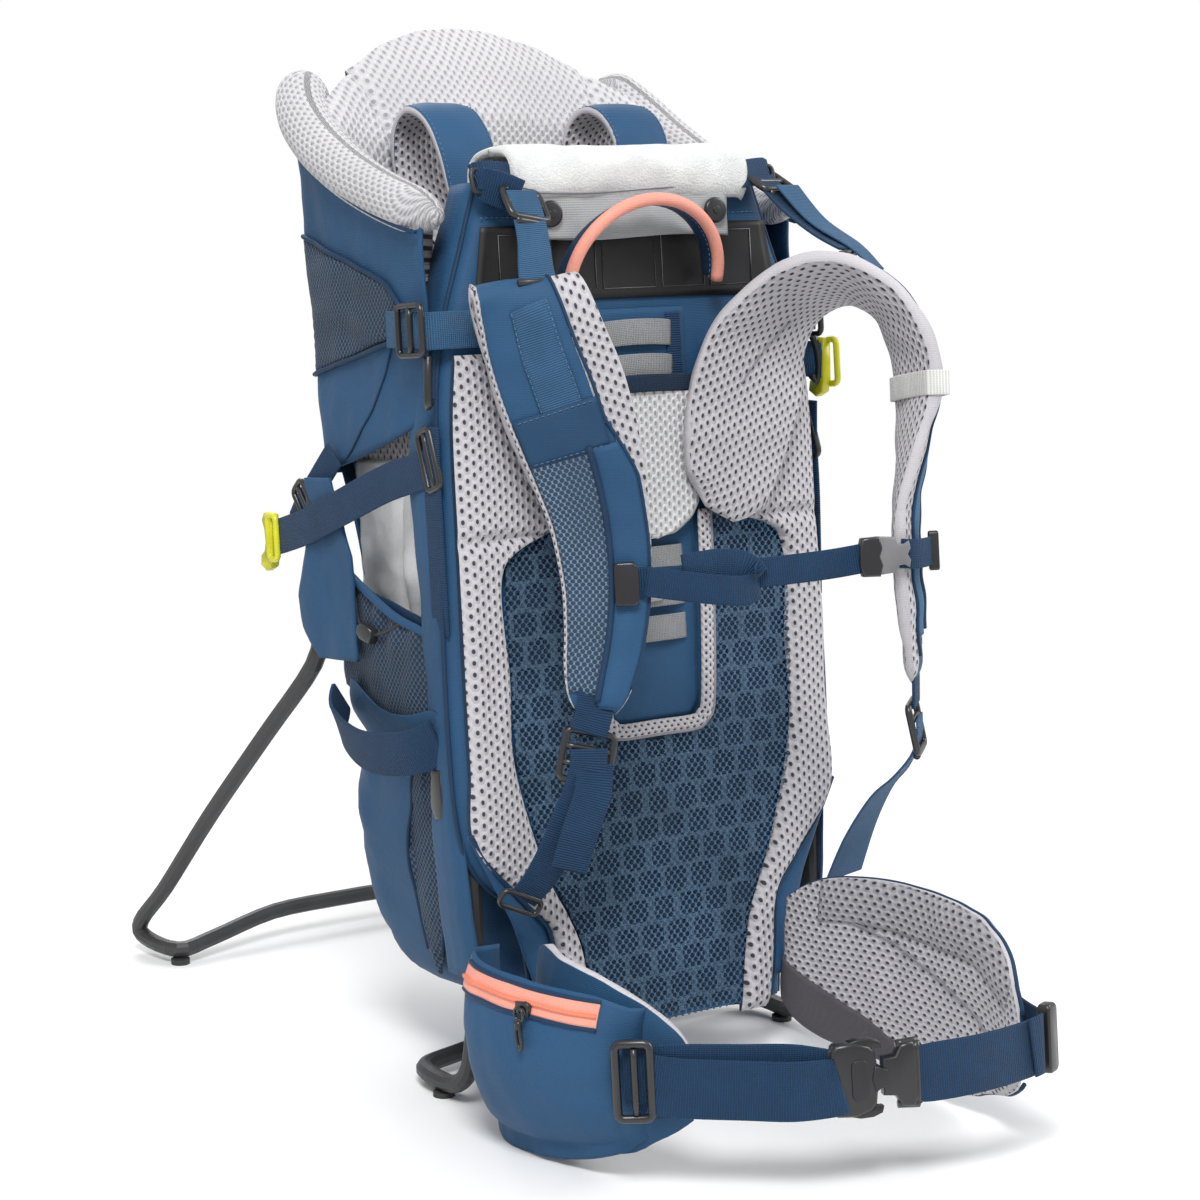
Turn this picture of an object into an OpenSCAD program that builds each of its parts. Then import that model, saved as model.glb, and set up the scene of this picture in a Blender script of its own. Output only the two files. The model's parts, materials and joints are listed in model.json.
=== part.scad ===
// Child carrier backpack: tube frame with a folding stand, padded back, shoulder harness,
// hip belt, child cockpit with its own harness, seat, foot stirrups and a lower bag.
// The pack is drawn upright in its own pack space (y = 0 is the front of the back panel,
// the wearer stands on the -y side), then leans back onto its stand.

/* [Stance] */
// Angle by which the pack leans back when it stands
lean = 5.5; // [5:0.5:6]
// Diameter of the frame and stand tubes
tube_d = 13; // [12:1:14]

/* [Back panel] */
// Half the width of the panel at its widest
panel_half = 157; // [156:1:158]
// Height of the panel's top edge
panel_top = 640; // [638:1:642]
// Thickness of the padded side pads
pad_t = 12; // [10:1:12]

/* [Harness] */
// Thickness of the shoulder pads
shoulder_t = 13; // [11:1:14]
// Width of the wide webbing on the hip belt
belt_w = 38; // [36:1:40]
// Width of the narrow webbing
web_w = 25; // [23:1:26]
// Thickness of all webbing
web_t = 1.6; // [1.2:0.2:1.8]

/* [Cockpit] */
// Half the outer width of the cockpit wall
cockpit_half = 157; // [156:1:158]
// Depth of the cockpit's rear wall behind the panel
cockpit_back = 190; // [188:1:192]
// Thickness of the cockpit wall
wall_t = 3; // [2:0.5:3]

/* [Stand] */
// Bore radius of the stand's knuckles
knuckle_r = 4.05; // [4.03:0.01:4.08]
// Radius of the stand's pivot pins
pin_r = 4; // [4:0.5:4]

/* [Hidden] */
// Moves the drawing so that the origin is under the middle of its bounding box
origin_shift = [0, -119, 0];
tube_r = tube_d / 2;
stand_pivot = [155, 203, 330];
SMOOTH = 6;

// ---- Paths -------------------------------------------------------------------------------
function unit(v) = v / norm(v);
function last(a) = a[len(a) - 1];
function flip_x(p) = [for (i = [0:len(p) - 1]) (i == 0 || i == 3) ? -p[i] : p[i]];
function flipped(path) = [for (p = path) flip_x(p)];
function reversed(path) = [for (i = [len(path) - 1:-1:0]) path[i]];
// A row of numbers on the smooth curve between rows b and c
function between(a, b, c, d, t) = 0.5 * (2 * b + (c - a) * t
    + (2 * a - 5 * b + 4 * c - d) * t * t + (3 * b - a - 3 * c + d) * t * t * t);
function smooth(rows, n = SMOOTH) = let (k = len(rows) - 1) concat(
    [for (i = [0:k - 1], j = [0:n - 1])
        between(rows[max(i - 1, 0)], rows[i], rows[i + 1], rows[min(i + 2, k)], j / n)],
    [rows[k]]);
function heading(path, i) =
    unit(path[min(i + 1, len(path) - 1)] - path[max(i - 1, 0)]);
function place_of(row) = [row[0], row[1], row[2]];
function side_of(row) = [row[3], row[4], row[5]];
// A pack-space point in the standing frame
function stood(p) = [
    p[0], p[1] * cos(lean) + p[2] * sin(lean), p[2] * cos(lean) - p[1] * sin(lean)];

// ---- Solids from rings -------------------------------------------------------------------
// One closed skin through rings that all have the same number of points
module skin(rings) {
    n = len(rings[0]);
    m = len(rings);
    faces = concat(
        [[for (i = [0:n - 1]) i]],
        [[for (i = [n - 1:-1:0]) (m - 1) * n + i]],
        [for (k = [0:m - 2], i = [0:n - 1]) [k * n + i, (k + 1) * n + i, k * n + (i + 1) % n]],
        [for (k = [0:m - 2], i = [0:n - 1])
            [k * n + (i + 1) % n, (k + 1) * n + i, (k + 1) * n + (i + 1) % n]]);
    polyhedron(points = [for (r = rings, p = r) p], faces = faces, convexity = 6);
}
// A round tube along points, its rings carried along without twist
function carried(path, i, u) = let (t = heading(path, i)) unit(u - (u * t) * t);
function ring_sides(path, i, u) =
    i >= len(path) ? [] : let (v = carried(path, i, u)) concat([v], ring_sides(path, i + 1, v));
module round_tube(path, r, sides = 12, first = [0, 0, 1]) {
    ups = ring_sides(path, 0, first);
    skin([for (i = [0:len(path) - 1]) let (t = heading(path, i), u = ups[i], v = cross(t, u))
        [for (a = [0:sides - 1]) path[i]
            + r * (cos(a * 360 / sides) * u + sin(a * 360 / sides) * v)]]);
}
// A flat band. Each row is [x, y, z, side x, side y, side z, width, thickness]
function pad_edge(w, h) = [[-w, 0], [h - w, -h], [w - h, -h], [w, 0], [w - h, h], [h - w, h]];
function square_edge(w, h) = [[-w, -h], [w, -h], [w, h], [-w, h]];
module band(rows, padded = true, n = SMOOTH) {
    fine = smooth(rows, n);
    path = [for (r = fine) place_of(r)];
    skin([for (i = [0:len(path) - 1]) let (
        t = heading(path, i), s0 = side_of(fine[i]), s = unit(s0 - (s0 * t) * t),
        u = cross(t, s), w = fine[i][6] / 2, h = fine[i][7] / 2)
        [for (q = padded ? pad_edge(w, h) : square_edge(w, h)) path[i] + q[0] * s + q[1] * u]]);
}
// Webbing: a thin band of one width with square edges, with the same side all along
module web(points, side, w = web_w, n = SMOOTH) {
    fine = smooth(points, n);
    skin([for (i = [0:len(fine) - 1]) let (
        t = heading(fine, i), s = unit(side - (side * t) * t), u = cross(t, s))
        [for (q = [[-w, -web_t], [w, -web_t], [w, web_t], [-w, web_t]])
            fine[i] + (q[0] * s + q[1] * u) / 2]]);
}
module plate(points, y0, y1) {
    translate([0, y1, 0]) rotate([90, 0, 0]) linear_extrude(y1 - y0) polygon(points);
}
module both() {
    children();
    mirror([1, 0, 0]) children();
}
// Puts a drawing on x, y, z axes of its own
module set_on(at, x, y) {
    z = cross(x, y);
    multmatrix([
        [x[0], y[0], z[0], at[0]], [x[1], y[1], z[1], at[1]], [x[2], y[2], z[2], at[2]]])
        children();
}
module leaning() { translate(origin_shift) rotate([-lean, 0, 0]) children(); }
module standing() { translate(origin_shift) children(); }
module rounded_2d(w, h, r) {
    square([w - 2 * r, h], center = true);
    square([w, h - 2 * r], center = true);
    for (sx = [-1, 1], sy = [-1, 1])
        translate([sx * (w / 2 - r), sy * (h / 2 - r)]) circle(r, $fn = 24);
}
// A loop buckle: a flat frame with bars across, lying in its own x-y plane
module bar_buckle(w, h, t, slots, rim = 3, bar = 3) {
    slot_h = (h - 2 * rim - (slots - 1) * bar) / slots;
    linear_extrude(t, center = true) difference() {
        rounded_2d(w + 2 * rim, h, 2.5);
        for (i = [0:slots - 1])
            translate([0, -h / 2 + rim + slot_h / 2 + i * (slot_h + bar)])
                square([w, slot_h], center = true);
    }
}

// ---- Frame and stand ---------------------------------------------------------------------
frame_half = concat(
    [for (p = [[0, 14.5, 628], [50, 14.5, 628], [80, 14.5, 624], [98, 14.5, 602],
        [112, 14.5, 565], [130, 14.5, 500], [141, 14.5, 430], [145, 14.5, 350],
        [146, 14.5, 240], [146, 14.5, 120]]) stood(p)],
    [[147, 26, 60], [148, 32, 26], [149, 50, 11.5], [149, 82, 10.5], [141, 98, 10.5],
        [118, 103, 12], [60, 104, 18], [0, 104, 18]]);
frame_line = smooth(frame_half, 4);
module main_frame() {
    color("dimgray") standing() round_tube(
        concat([for (p = reversed(frame_line)) flip_x(p)],
            [for (i = [1:len(frame_line) - 2]) frame_line[i]], [[0.4, 104, 18]]),
        tube_r, 10, [0, 0, 1]);
}
module side_struts() {
    color("dimgray") leaning() {
        both() round_tube([[138.5, 29, 258], [138.5, 90, 297], [138.5, 158, 340],
            [138.5, 172, 348]], 6, 12, [1, 0, 0]);
        translate([0, 158, 340]) rotate([0, 90, 0]) cylinder(h = 272, r = 5, center = true);
    }
}
lug_base = [149.5, 62];
lug_stand = [154, 453];
module lug(at, top) {
    translate([at[0], at[1], 0]) cylinder(h = top, r = 7.5);
}
module base_lugs() {
    color("black") standing() both() lug(lug_base, 3.6);
}
stand_half = [[155, 211, 314], [155, 226, 279], [155, 300, 215], [156, 392, 134], [161, 462, 62],
    [165, 500, 26], [163, 496, 13], [154, 455, 11], [122, 458, 15], [60, 470, 24], [0, 472, 25]];
stand_line = smooth(stand_half, 4);
module kickstand_tube() {
    color("dimgray") standing() round_tube(
        concat(flipped(stand_line), [for (i = [len(stand_line) - 2:-1:0]) stand_line[i]]),
        tube_r, 10, [1, 0, 0]);
}
module stand_knuckles() {
    color("black") standing() both() translate(stand_pivot) rotate([0, 90, 0])
        difference() {
            cylinder(h = 12, r = 10, center = true);
            cylinder(h = 20, r = knuckle_r, center = true);
        }
}
module stand_lugs() {
    color("black") standing() both() lug(lug_stand, 4.2);
}
module stand_pivots() {
    color("silver") standing() both() translate([146, stand_pivot[1], stand_pivot[2]])
        rotate([0, 90, 0]) {
            cylinder(h = 16, r = pin_r);
            translate([0, 0, 15.6]) cylinder(h = 3, r = 8);
        }
}

// ---- Back panel --------------------------------------------------------------------------
panel_side = [[116, 632], [128, 590], [150, 520], [156, 430], [157, 200], [112, 132], [100, 44]];
function mirrored_outline(side, top, bottom) = concat(
    [top], side, [bottom], [for (i = [len(side) - 1:-1:0]) [-side[i][0], side[i][1]]]);
module back_board() {
    color("black") leaning() plate(mirrored_outline(
        [[80, 612], [120, 560], [130, 480], [134, 200], [92, 130], [80, 50]],
        [0, 614], [0, 50]), 2, 5);
}
module panel_fabric() {
    color("steelblue") leaning() plate(mirrored_outline(
        panel_side, [0, panel_top - 3], [0, 40]), -1.2, 1.5);
}
mesh_side = [[60, 402], [116, 374], [116, 238], [96, 165], [72, 110], [60, 46]];
module mesh_outline() {
    difference() {
        polygon(mirrored_outline(mesh_side, [0, 402], [0, 46]));
        polygon([[-55, 410], [55, 410], [49, 262], [36, 246], [-36, 246], [-49, 262]]);
    }
}
module foam_grid() {
    color("midnightblue") leaning() translate([0, -1.5, 0]) rotate([90, 0, 0])
        linear_extrude(4) mesh_outline();
}
module back_mesh() {
    color("steelblue") leaning() translate([0, -6, 0]) rotate([90, 0, 0])
        linear_extrude(1.5) mesh_outline();
}
pad_outline = [[61, 404], [118, 376], [118, 238], [98, 164], [74, 110], [62, 46], [84, 40],
    [92, 60], [97, 124], [153, 186], [152, 300], [151, 430], [146, 514], [62, 514]];
module back_pads() {
    color("lightgray") leaning() both() plate(pad_outline, -1.8 - pad_t, -1.8);
}
module channel_trim() {
    color("lightgray") leaning() translate([0, -3, 0]) rotate([90, 0, 0])
        linear_extrude(8) difference() {
            polygon([[-53.5, 400], [53.5, 400], [48, 263], [35, 247.5], [-35, 247.5], [-48, 263]]);
            polygon([[-45, 410], [45, 410], [40, 267], [31, 256], [-31, 256], [-40, 267]]);
        }
}
module adjust_sleeve() {
    color("steelblue") leaning() plate(
        [[-43, 541], [43, 541], [43, 400], [39, 268], [30, 258], [-30, 258], [-39, 268],
            [-43, 400]], -3.5, -1.8);
}
rungs = [524, 500, 368, 344, 320];
module adjust_ladder() {
    color("darkgray") leaning() for (z = rungs)
        translate([-28, -6.4, z - 9]) cube([56, 2.4, 18]);
}
module yoke_tongue() {
    color("whitesmoke") leaning() plate(
        [[-44, 488], [44, 488], [44, 405], [32, 388], [0, 383], [-32, 388], [-44, 405]],
        -13.5, -8);
}
module label_patch() {
    color("black") leaning() plate([[-127, 549], [127, 549], [119, 600], [-119, 600]], -2.4, -1.6);
}
handle_line = smooth([for (a = [0:20:180]) [-62 * cos(a), -15 - 20 * sin(a), 560 + 54 * sin(a)]], 3);
module grab_handle() {
    color("coral") leaning() round_tube(handle_line, 5.5, 10, [0, 1, 0]);
}
chin_roll = [[-10, 624], [-10, 640], [-6, 645], [32, 645], [37, 640], [37, 596], [43, 596],
    [43, 642], [34, 652], [-9, 652], [-15, 644], [-15, 624]];
module chin_pad() {
    color("white") leaning() {
        translate([-97, 0, 0]) rotate([90, 0, 90]) linear_extrude(194) polygon(chin_roll);
        translate([-76, -15, 588]) cube([152, 5, 38]);
    }
}
module snap_buttons() {
    color("black") leaning() for (x = [-66, 68])
        translate([x, -15.4, 607]) rotate([90, 0, 0]) cylinder(h = 3.4, r = 7);
}

// ---- Cockpit and seat --------------------------------------------------------------------
cockpit_side = [[cockpit_half - 2, 24], [cockpit_half, 90], [cockpit_half - 4, 150],
    [cockpit_half - 30, 184], [cockpit_half - 70, cockpit_back]];
function plan_outline(inset) = let (
    half = [for (p = cockpit_side) [p[0] - inset, min(p[1], cockpit_back - inset)]])
    concat(half, [for (i = [len(half) - 1:-1:0]) [-half[i][0], half[i][1]]]);
module cockpit_shell() {
    color("steelblue") leaning() intersection() {
        translate([0, 0, 440]) linear_extrude(230) difference() {
            polygon(plan_outline(0));
            polygon(plan_outline(wall_t));
            translate([-200, -10]) square([400, 34.5]);
        }
        translate([200, 0, 0]) rotate([0, -90, 0]) linear_extrude(400)
            polygon([[474, 20], [452, 100], [440, 160], [440, 200], [655, 200], [644, 170],
                [610, 90], [592, 20]]);
    }
}
collar_half = [[148, 10, 606], [150, 50, 614], [151, 90, 626], [150, 140, 650],
    [140, 178, 674], [122, 194, 684]];
module cockpit_collar() {
    color("lightgray") leaning() both() round_tube(smooth(collar_half, 4), 13, 12);
}
headrest_side = [[50, 745], [88, 724], [112, 698], [106, 652], [100, 596]];
module headrest() {
    color("lightgray") leaning() plate(
        mirrored_outline(headrest_side, [0, 750], [0, 592]), 160, 184);
}
module seat_pad() {
    color("whitesmoke") leaning() translate([0, 0, 368]) linear_extrude(22)
        polygon([[-58, 30], [58, 30], [84, 80], [95, 120], [95, 150], [-95, 150],
            [-95, 120], [-84, 80]]);
}
module seat_sides() {
    color("whitesmoke") leaning() both() rotate([90, 0, 90]) translate([0, 0, 96])
        linear_extrude(5) polygon([[32, 318], [120, 350], [150, 362], [146, 425], [30, 425]]);
}
module child_back_pad() {
    color("lightgray") leaning() translate([-92, 136, 404]) cube([184, 14, 176]);
}
child_strap = [
    [70, 124, 596, 1, 0, 0, 42, 9], [72, 142, 640, 1, 0, 0, 44, 9], [74, 138, 676, 1, 0, 0, 46, 9],
    [76, 112, 686, 1, 0, 0, 46, 9], [76, 84, 664, 1, 0, 0, 44, 9], [72, 70, 612, 1, 0, 0, 42, 9],
    [62, 66, 540, 1, 0, 0, 36, 8], [40, 72, 480, 1, 0, 0, 26, 5]];
module child_harness() {
    color("steelblue") leaning() {
        both() band(child_strap, true, 4);
        web([[0, 76, 441], [0, 74, 420], [0, 70, 391]], [1, 0, 0], 30, 3);
    }
}
harness_at = [0, 76, 462];
module harness_buckle() {
    color("black") leaning() translate(harness_at) rotate([90, 0, 0]) difference() {
        linear_extrude(12, center = true) rounded_2d(46, 40, 8);
        translate([0, 0, 1]) cylinder(h = 8, r = 9.5);
    }
}
module harness_button() {
    color("red") leaning() translate(harness_at) rotate([90, 0, 0])
        translate([0, 0, 3.8]) cylinder(h = 4.6, r = 9);
}

// ---- Bag and sides -----------------------------------------------------------------------
module lower_bag() {
    color("steelblue") leaning() hull() {
        translate([-130, 30, 120]) cube([260, 20, 170]);
        translate([-120, 40, 74]) cube([240, 110, 20]);
        translate([-126, 170, 130]) cube([252, 30, 120]);
        translate([-112, 190, 140]) cube([224, 20, 90]);
        translate([-110, 150, 270]) cube([220, 24, 24]);
    }
}
module side_pockets() {
    color("steelblue") leaning() both() rotate([90, 0, 90]) translate([0, 0, 150])
        linear_extrude(5) polygon([[28, 250], [120, 256], [146, 292], [144, 372], [52, 334],
            [28, 330]]);
}
module hinge_covers() {
    color("steelblue") leaning() both() rotate([90, 0, 90]) translate([0, 0, 166])
        linear_extrude(2.4) polygon([[116, 306], [160, 308], [182, 328], [184, 352], [174, 378],
            [164, 384], [116, 380]]);
}
stirrup_path = [[160, 22, 258], [174, 44, 250], [183, 84, 250], [181, 120, 264], [168, 138, 282]];
module foot_stirrups() {
    color("steelblue") leaning() both() web(stirrup_path, [0.3, 0, 1], 34, 4);
}
side_strap_path = [[118, -3.6, 533], [150, -3.6, 533], [160.5, -2, 533], [163, 5, 533],
    [163, 30, 534], [163, 60, 536]];
module side_straps() {
    color("steelblue") leaning() both() web(side_strap_path, [0, 0, 1], web_w, 4);
}
module side_sliders() {
    color("black") leaning() both() set_on([167.4, 18, 534], [0, 0, 1], [0, 1, 0])
        bar_buckle(27, 28, 3, 2);
}
entry_path_left = [[-160.5, 17, 437], [-164, 60, 430], [-172, 110, 416], [-173, 170, 402],
    [-164, 222, 394]];
entry_path_right = [[160.5, 14, 502], [162.5, 8, 500], [164, -1, 498]];
entry_at = [[-163, 235, 392], [169, 0, 497]];
module entry_straps() {
    color("steelblue") leaning() {
        web(entry_path_left, [0, 0, 1], web_w, 4);
        web(entry_path_right, [0, 0, 1], web_w, 4);
    }
}
module entry_clip() {
    difference() {
        hull() {
            translate([0, 0, 0]) cube([7, 8, 34], center = true);
            translate([1, 3, -20]) cube([6, 9, 6], center = true);
        }
        cube([2.6, 20, 26], center = true);
    }
}
module entry_clip_left() {
    color("gold") leaning() translate(entry_at[0]) entry_clip();
}
module entry_clip_right() {
    color("gold") leaning() translate(entry_at[1]) entry_clip();
}

// ---- Shoulder harness --------------------------------------------------------------------
shoulder_right = [
    [60, -21.5, 400, 0.94, 0, -0.35, 30, 10], [72, -21.5, 430, 0.94, 0, -0.35, 68, 12],
    [85, -22, 480, 0.94, 0, -0.3, 84, 13], [97, -27, 524, 0.93, 0.15, -0.3, 80, 14],
    [108, -48, 549, 0.75, 0.45, -0.45, 72, 14], [124, -80, 554, 0.6, 0.65, -0.4, 68, 15],
    [138, -108, 538, 0.42, 0.85, -0.25, 64, 15], [148, -122, 508, 0.3, 0.95, -0.1, 64, 15],
    [149, -126, 475, 0.32, 0.95, 0, 64, 15], [143, -126, 448, 0.45, 0.9, 0, 62, 15],
    [137, -126, 420, 0.6, 0.8, 0, 58, 15], [132, -126, 395, 0.7, 0.7, 0, 56, 14],
    [131, -126, 360, 0.75, 0.65, 0, 52, 14], [134, -124, 332, 0.75, 0.65, 0, 46, 13],
    [139, -120, 300, 0.75, 0.65, 0, 38, 12], [142, -117, 276, 0.75, 0.65, 0, 26, 10]];
shoulder_left = [
    [-54, -21.5, 400, 0.94, 0, 0.35, 30, 10], [-66, -21.5, 430, 0.94, 0, 0.35, 66, 12],
    [-82, -22, 480, 0.94, 0, 0.3, 80, 13], [-99, -24, 524, 0.94, 0, 0.2, 76, 13],
    [-110, -32, 550, 0.93, -0.2, 0.1, 70, 13], [-116, -44, 556, 0.88, -0.4, 0, 72, 13],
    [-114, -52, 540, 0.82, -0.55, 0, 76, 14], [-107, -55, 515, 0.8, -0.6, 0, 80, 14],
    [-97, -58, 485, 0.8, -0.6, 0, 82, 15], [-84, -60, 440, 0.8, -0.6, 0, 76, 15],
    [-76, -60, 403, 0.8, -0.6, 0, 66, 15], [-73, -60, 361, 0.8, -0.6, 0, 59, 14],
    [-76, -60, 329, 0.8, -0.6, 0, 54, 14], [-81, -59, 303, 0.8, -0.6, 0, 48, 13],
    [-87, -58, 280, 0.8, -0.6, 0, 36, 11]];
module shoulder_pad_left() { color("steelblue") leaning() band(shoulder_left, true, 3); }
module shoulder_pad_right() { color("steelblue") leaning() band(shoulder_right, true, 3); }
lock_left_at = [-94, -56, 246];
lock_left_x = unit([0.85, -0.45, -0.25]);
lock_left_y = unit(cross([-0.45, -0.85, 0.1], lock_left_x));
lock_right_at = [144, -114, 243];
lock_right_x = unit([0.75, 0.65, 0.1]);
lock_right_y = unit(cross([0.65, -0.75, 0.15], lock_right_x));
module ladder_lock() {
    bar_buckle(27, 32, 4, 3, 3.5, 3);
    translate([0, -17, -1.2]) rotate([0, 90, 0]) cylinder(h = 30, r = 3, center = true);
}
module shoulder_lock_left() {
    color("black") leaning() set_on(lock_left_at, lock_left_x, lock_left_y) ladder_lock();
}
module shoulder_lock_right() {
    color("black") leaning() set_on(lock_right_at, lock_right_x, lock_right_y) ladder_lock();
}
lower_left = [[-101, -55, 219, 0.85, -0.5, -0.2, 25, 1.6], [-110, -50, 202, 0.9, -0.3, -0.3, 25, 1.6],
    [-116, -42, 180, 0.9, -0.2, -0.4, 22, 1.6], [-124, -29, 160, 0.9, -0.1, -0.4, 20, 1.6],
    [-130, -15, 148, 0.9, 0, -0.4, 20, 1.6], [-134, -5, 142, 0.9, 0, -0.4, 20, 1.6]];
lower_right = [[146, -109, 212, 0.75, 0.5, 0.1, 25, 1.6], [148, -88, 204, 0.85, 0.4, 0.1, 27, 1.6],
    [151, -62, 190, 0.9, 0.3, 0.1, 30, 1.6], [154, -34, 158, 0.95, 0.1, 0.2, 34, 1.6],
    [156, -12, 128, 0.95, 0, 0.2, 36, 1.6]];
load_left = [[-99, -36, 598, 1, 0, 0, 25, 3.2], [-103, -45, 588, 1, 0, 0, 25, 3.2],
    [-108, -53, 576, 1, 0, 0, 25, 3.2]];
load_right = [[115, -27, 611, 0.9, 0.3, 0, 25, 3.2], [118, -44, 598, 0.85, 0.4, 0, 25, 3.2],
    [124, -68, 583, 0.8, 0.5, 0, 25, 3.2], [130, -86, 576, 0.7, 0.6, 0, 25, 3.2]];
module harness_webbing() {
    color("steelblue") leaning() {
        band(lower_left, false, 3);
        band(lower_right, false, 3);
        band(load_left, false, 3);
        band(load_right, false, 3);
    }
}
module load_lock() {
    bar_buckle(26, 22, 4, 2, 3, 3);
    translate([0, -12, -1]) rotate([0, 90, 0]) cylinder(h = 29, r = 2.6, center = true);
}
module load_lock_left() {
    color("black") leaning() set_on([-97, -24, 613], unit([1, 0.1, -0.15]),
        unit(cross([0, -0.8, 0.6], unit([1, 0.1, -0.15])))) load_lock();
}
module load_lock_right() {
    color("black") leaning() set_on([117, -14, 626], unit([1, 0.2, 0]),
        unit(cross([0.1, -0.5, 0.8], unit([1, 0.2, 0])))) load_lock();
}
rail_left = [-80, -81];
rail_right = [142, -143];
module sternum_rails() {
    color("steelblue") leaning() {
        translate([rail_left[0], rail_left[1], 305]) cylinder(h = 110, r = 2.2);
        translate([rail_right[0], rail_right[1], 305]) cylinder(h = 110, r = 2.2);
    }
}
module rail_clip(at, way) {
    translate([at[0], at[1], 360]) difference() {
        translate([way > 0 ? -4 : -9, -4.5, -15]) cube([13, 9, 30]);
        translate([0, 0, -20]) cylinder(h = 40, r = 2.8);
    }
}
sternum_line = [[-70.6, -82, 360], [-56, -86, 360], [-20, -97, 360], [40, -119, 362], [84, -137, 365],
    [90, -140, 366]];
sternum_tail = [[109, -149, 366], [116, -152.5, 366], [124.3, -150.5, 366], [132.8, -145.4, 366]];
module sternum_strap() {
    color("steelblue") leaning() {
        web(sternum_line, [0, 0, 1], 22, 4);
        web(sternum_tail, [0, 0, 1], 22, 4);
        rail_clip(rail_left, 1);
        rail_clip(rail_right, -1);
    }
}
module sternum_buckle() {
    color("gray") leaning() set_on([99.5, -144.5, 366], unit([0.9, -0.45, 0]), [0, 0, 1])
        linear_extrude(8, center = true) rounded_2d(19, 27, 3);
}
hose_side = unit([0.34, 0.94, 0]);
module hose_loop() {
    color("white") leaning() set_on([150, -126, 470], hose_side, cross([0, 0, 1], hose_side))
        linear_extrude(16, center = true) difference() {
            rounded_2d(82, 30, 6);
            rounded_2d(79, 27, 5);
        }
}

// ---- Hip belt ----------------------------------------------------------------------------
fin_left = [[-108, -12, 80, 0, 0, 1, 86, 12], [-122, -34, 72, 0, 0, 1, 110, 14],
    [-137, -75, 62, 0, 0, 1, 120, 14], [-138, -120, 56, 0, 0, 1, 114, 14],
    [-127, -156, 50, 0, 0, 1, 90, 13], [-117, -174, 43, 0, 0, 1, 58, 11],
    [-110, -184, 40, 0, 0, 1, 34, 8]];
fin_right = [[107, -8, 80, 0, 0, 1, 88, 12], [115, -45, 76, 0, 0, 1, 112, 14],
    [121, -95, 72, 0, 0, 1, 124, 14], [125, -150, 64, 0, 0, 1, 128, 14],
    [121, -198, 58, 0, 0, 1, 114, 14], [110, -234, 46, 0, 0, 1, 76, 12],
    [102, -250, 42, 0, 0, 1, 44, 9]];
module hip_fin_left() { color("steelblue") leaning() band(fin_left, true, 4); }
module hip_fin_right() { color("steelblue") leaning() band(fin_right, true, 4); }
module hip_pocket() {
    color("steelblue") leaning() hull() {
        translate([-172, -18, 20]) cube([22, 4, 98]);
        translate([-186, -44, 2]) cube([34, 4, 116]);
        translate([-176, -108, 0]) cube([24, 4, 110]);
        translate([-164, -130, 4]) cube([13, 5, 104]);
        translate([-157, -152, 14]) cube([8, 7, 86]);
    }
}
zip_along = unit([10, -64, -9]);
zip_out = unit([-64, -10, 0]);
zip_up = cross(zip_out, zip_along);
zip_mid = [-182.6, -72.4, 102];
module pocket_zip() {
    color("salmon") leaning() set_on(zip_mid, zip_along, zip_up)
        cube([62, 14, 2], center = true);
}
module zip_slider() {
    color("black") leaning() set_on(zip_mid + 25 * zip_along + 3.6 * zip_out,
        zip_along, zip_up) cube([9, 7, 4], center = true);
}
module zip_pull() {
    color("black") leaning() set_on(
        zip_mid + 25 * zip_along + 7.4 * zip_out + [0, 0, -12], unit([10, -64, 0]), [0, 0, 1])
        linear_extrude(2.4, center = true) difference() {
            rounded_2d(10, 26, 4);
            translate([0, -3]) rounded_2d(6, 14, 2.5);
        }
}
belt_left = [[-132, -176, 58], [-123, -185, 57], [-92, -207, 54], [-60, -228, 52], [-50, -235, 51]];
belt_right = [[12, -263, 49], [50, -273, 50], [88, -274, 52], [104, -270, 53]];
module hip_webbing() {
    color("steelblue") leaning() {
        web(belt_left, [0, 0, 1], belt_w, 3);
        web(belt_right, [0, 0, 1], belt_w, 3);
    }
}
module belt_sliders() {
    color("black") leaning() {
        set_on([-144, -164, 58], unit([0.75, -0.66, 0]), [0, 0, 1])
            rotate(90) bar_buckle(40, 24, 4, 1, 4);
        set_on([112, -267, 54], unit([0.9, 0.4, 0]), [0, 0, 1])
            linear_extrude(8, center = true) rounded_2d(10, 46, 3);
    }
}
module on_hip_buckle() {
    leaning() set_on([-19, -249, 50], unit([0.92, -0.39, 0]), [0, 0, 1]) children();
}
module hip_buckle() {
    color("black") on_hip_buckle() difference() {
        linear_extrude(12, center = true) rounded_2d(52, 46, 5);
        for (s = [-1, 1]) translate([-8, s * 22, 0]) cube([23, 10, 9], center = true);
    }
}
// The squeeze tabs stand 2 mm proud of the buckle and clear the floor when pressed
module prong() { translate([-8, 22.6, 0]) cube([22, 5.2, 8], center = true); }
module hip_prong_upper() { color("black") on_hip_buckle() prong(); }
module hip_prong_lower() { color("black") on_hip_buckle() mirror([0, 1, 0]) prong(); }

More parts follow.
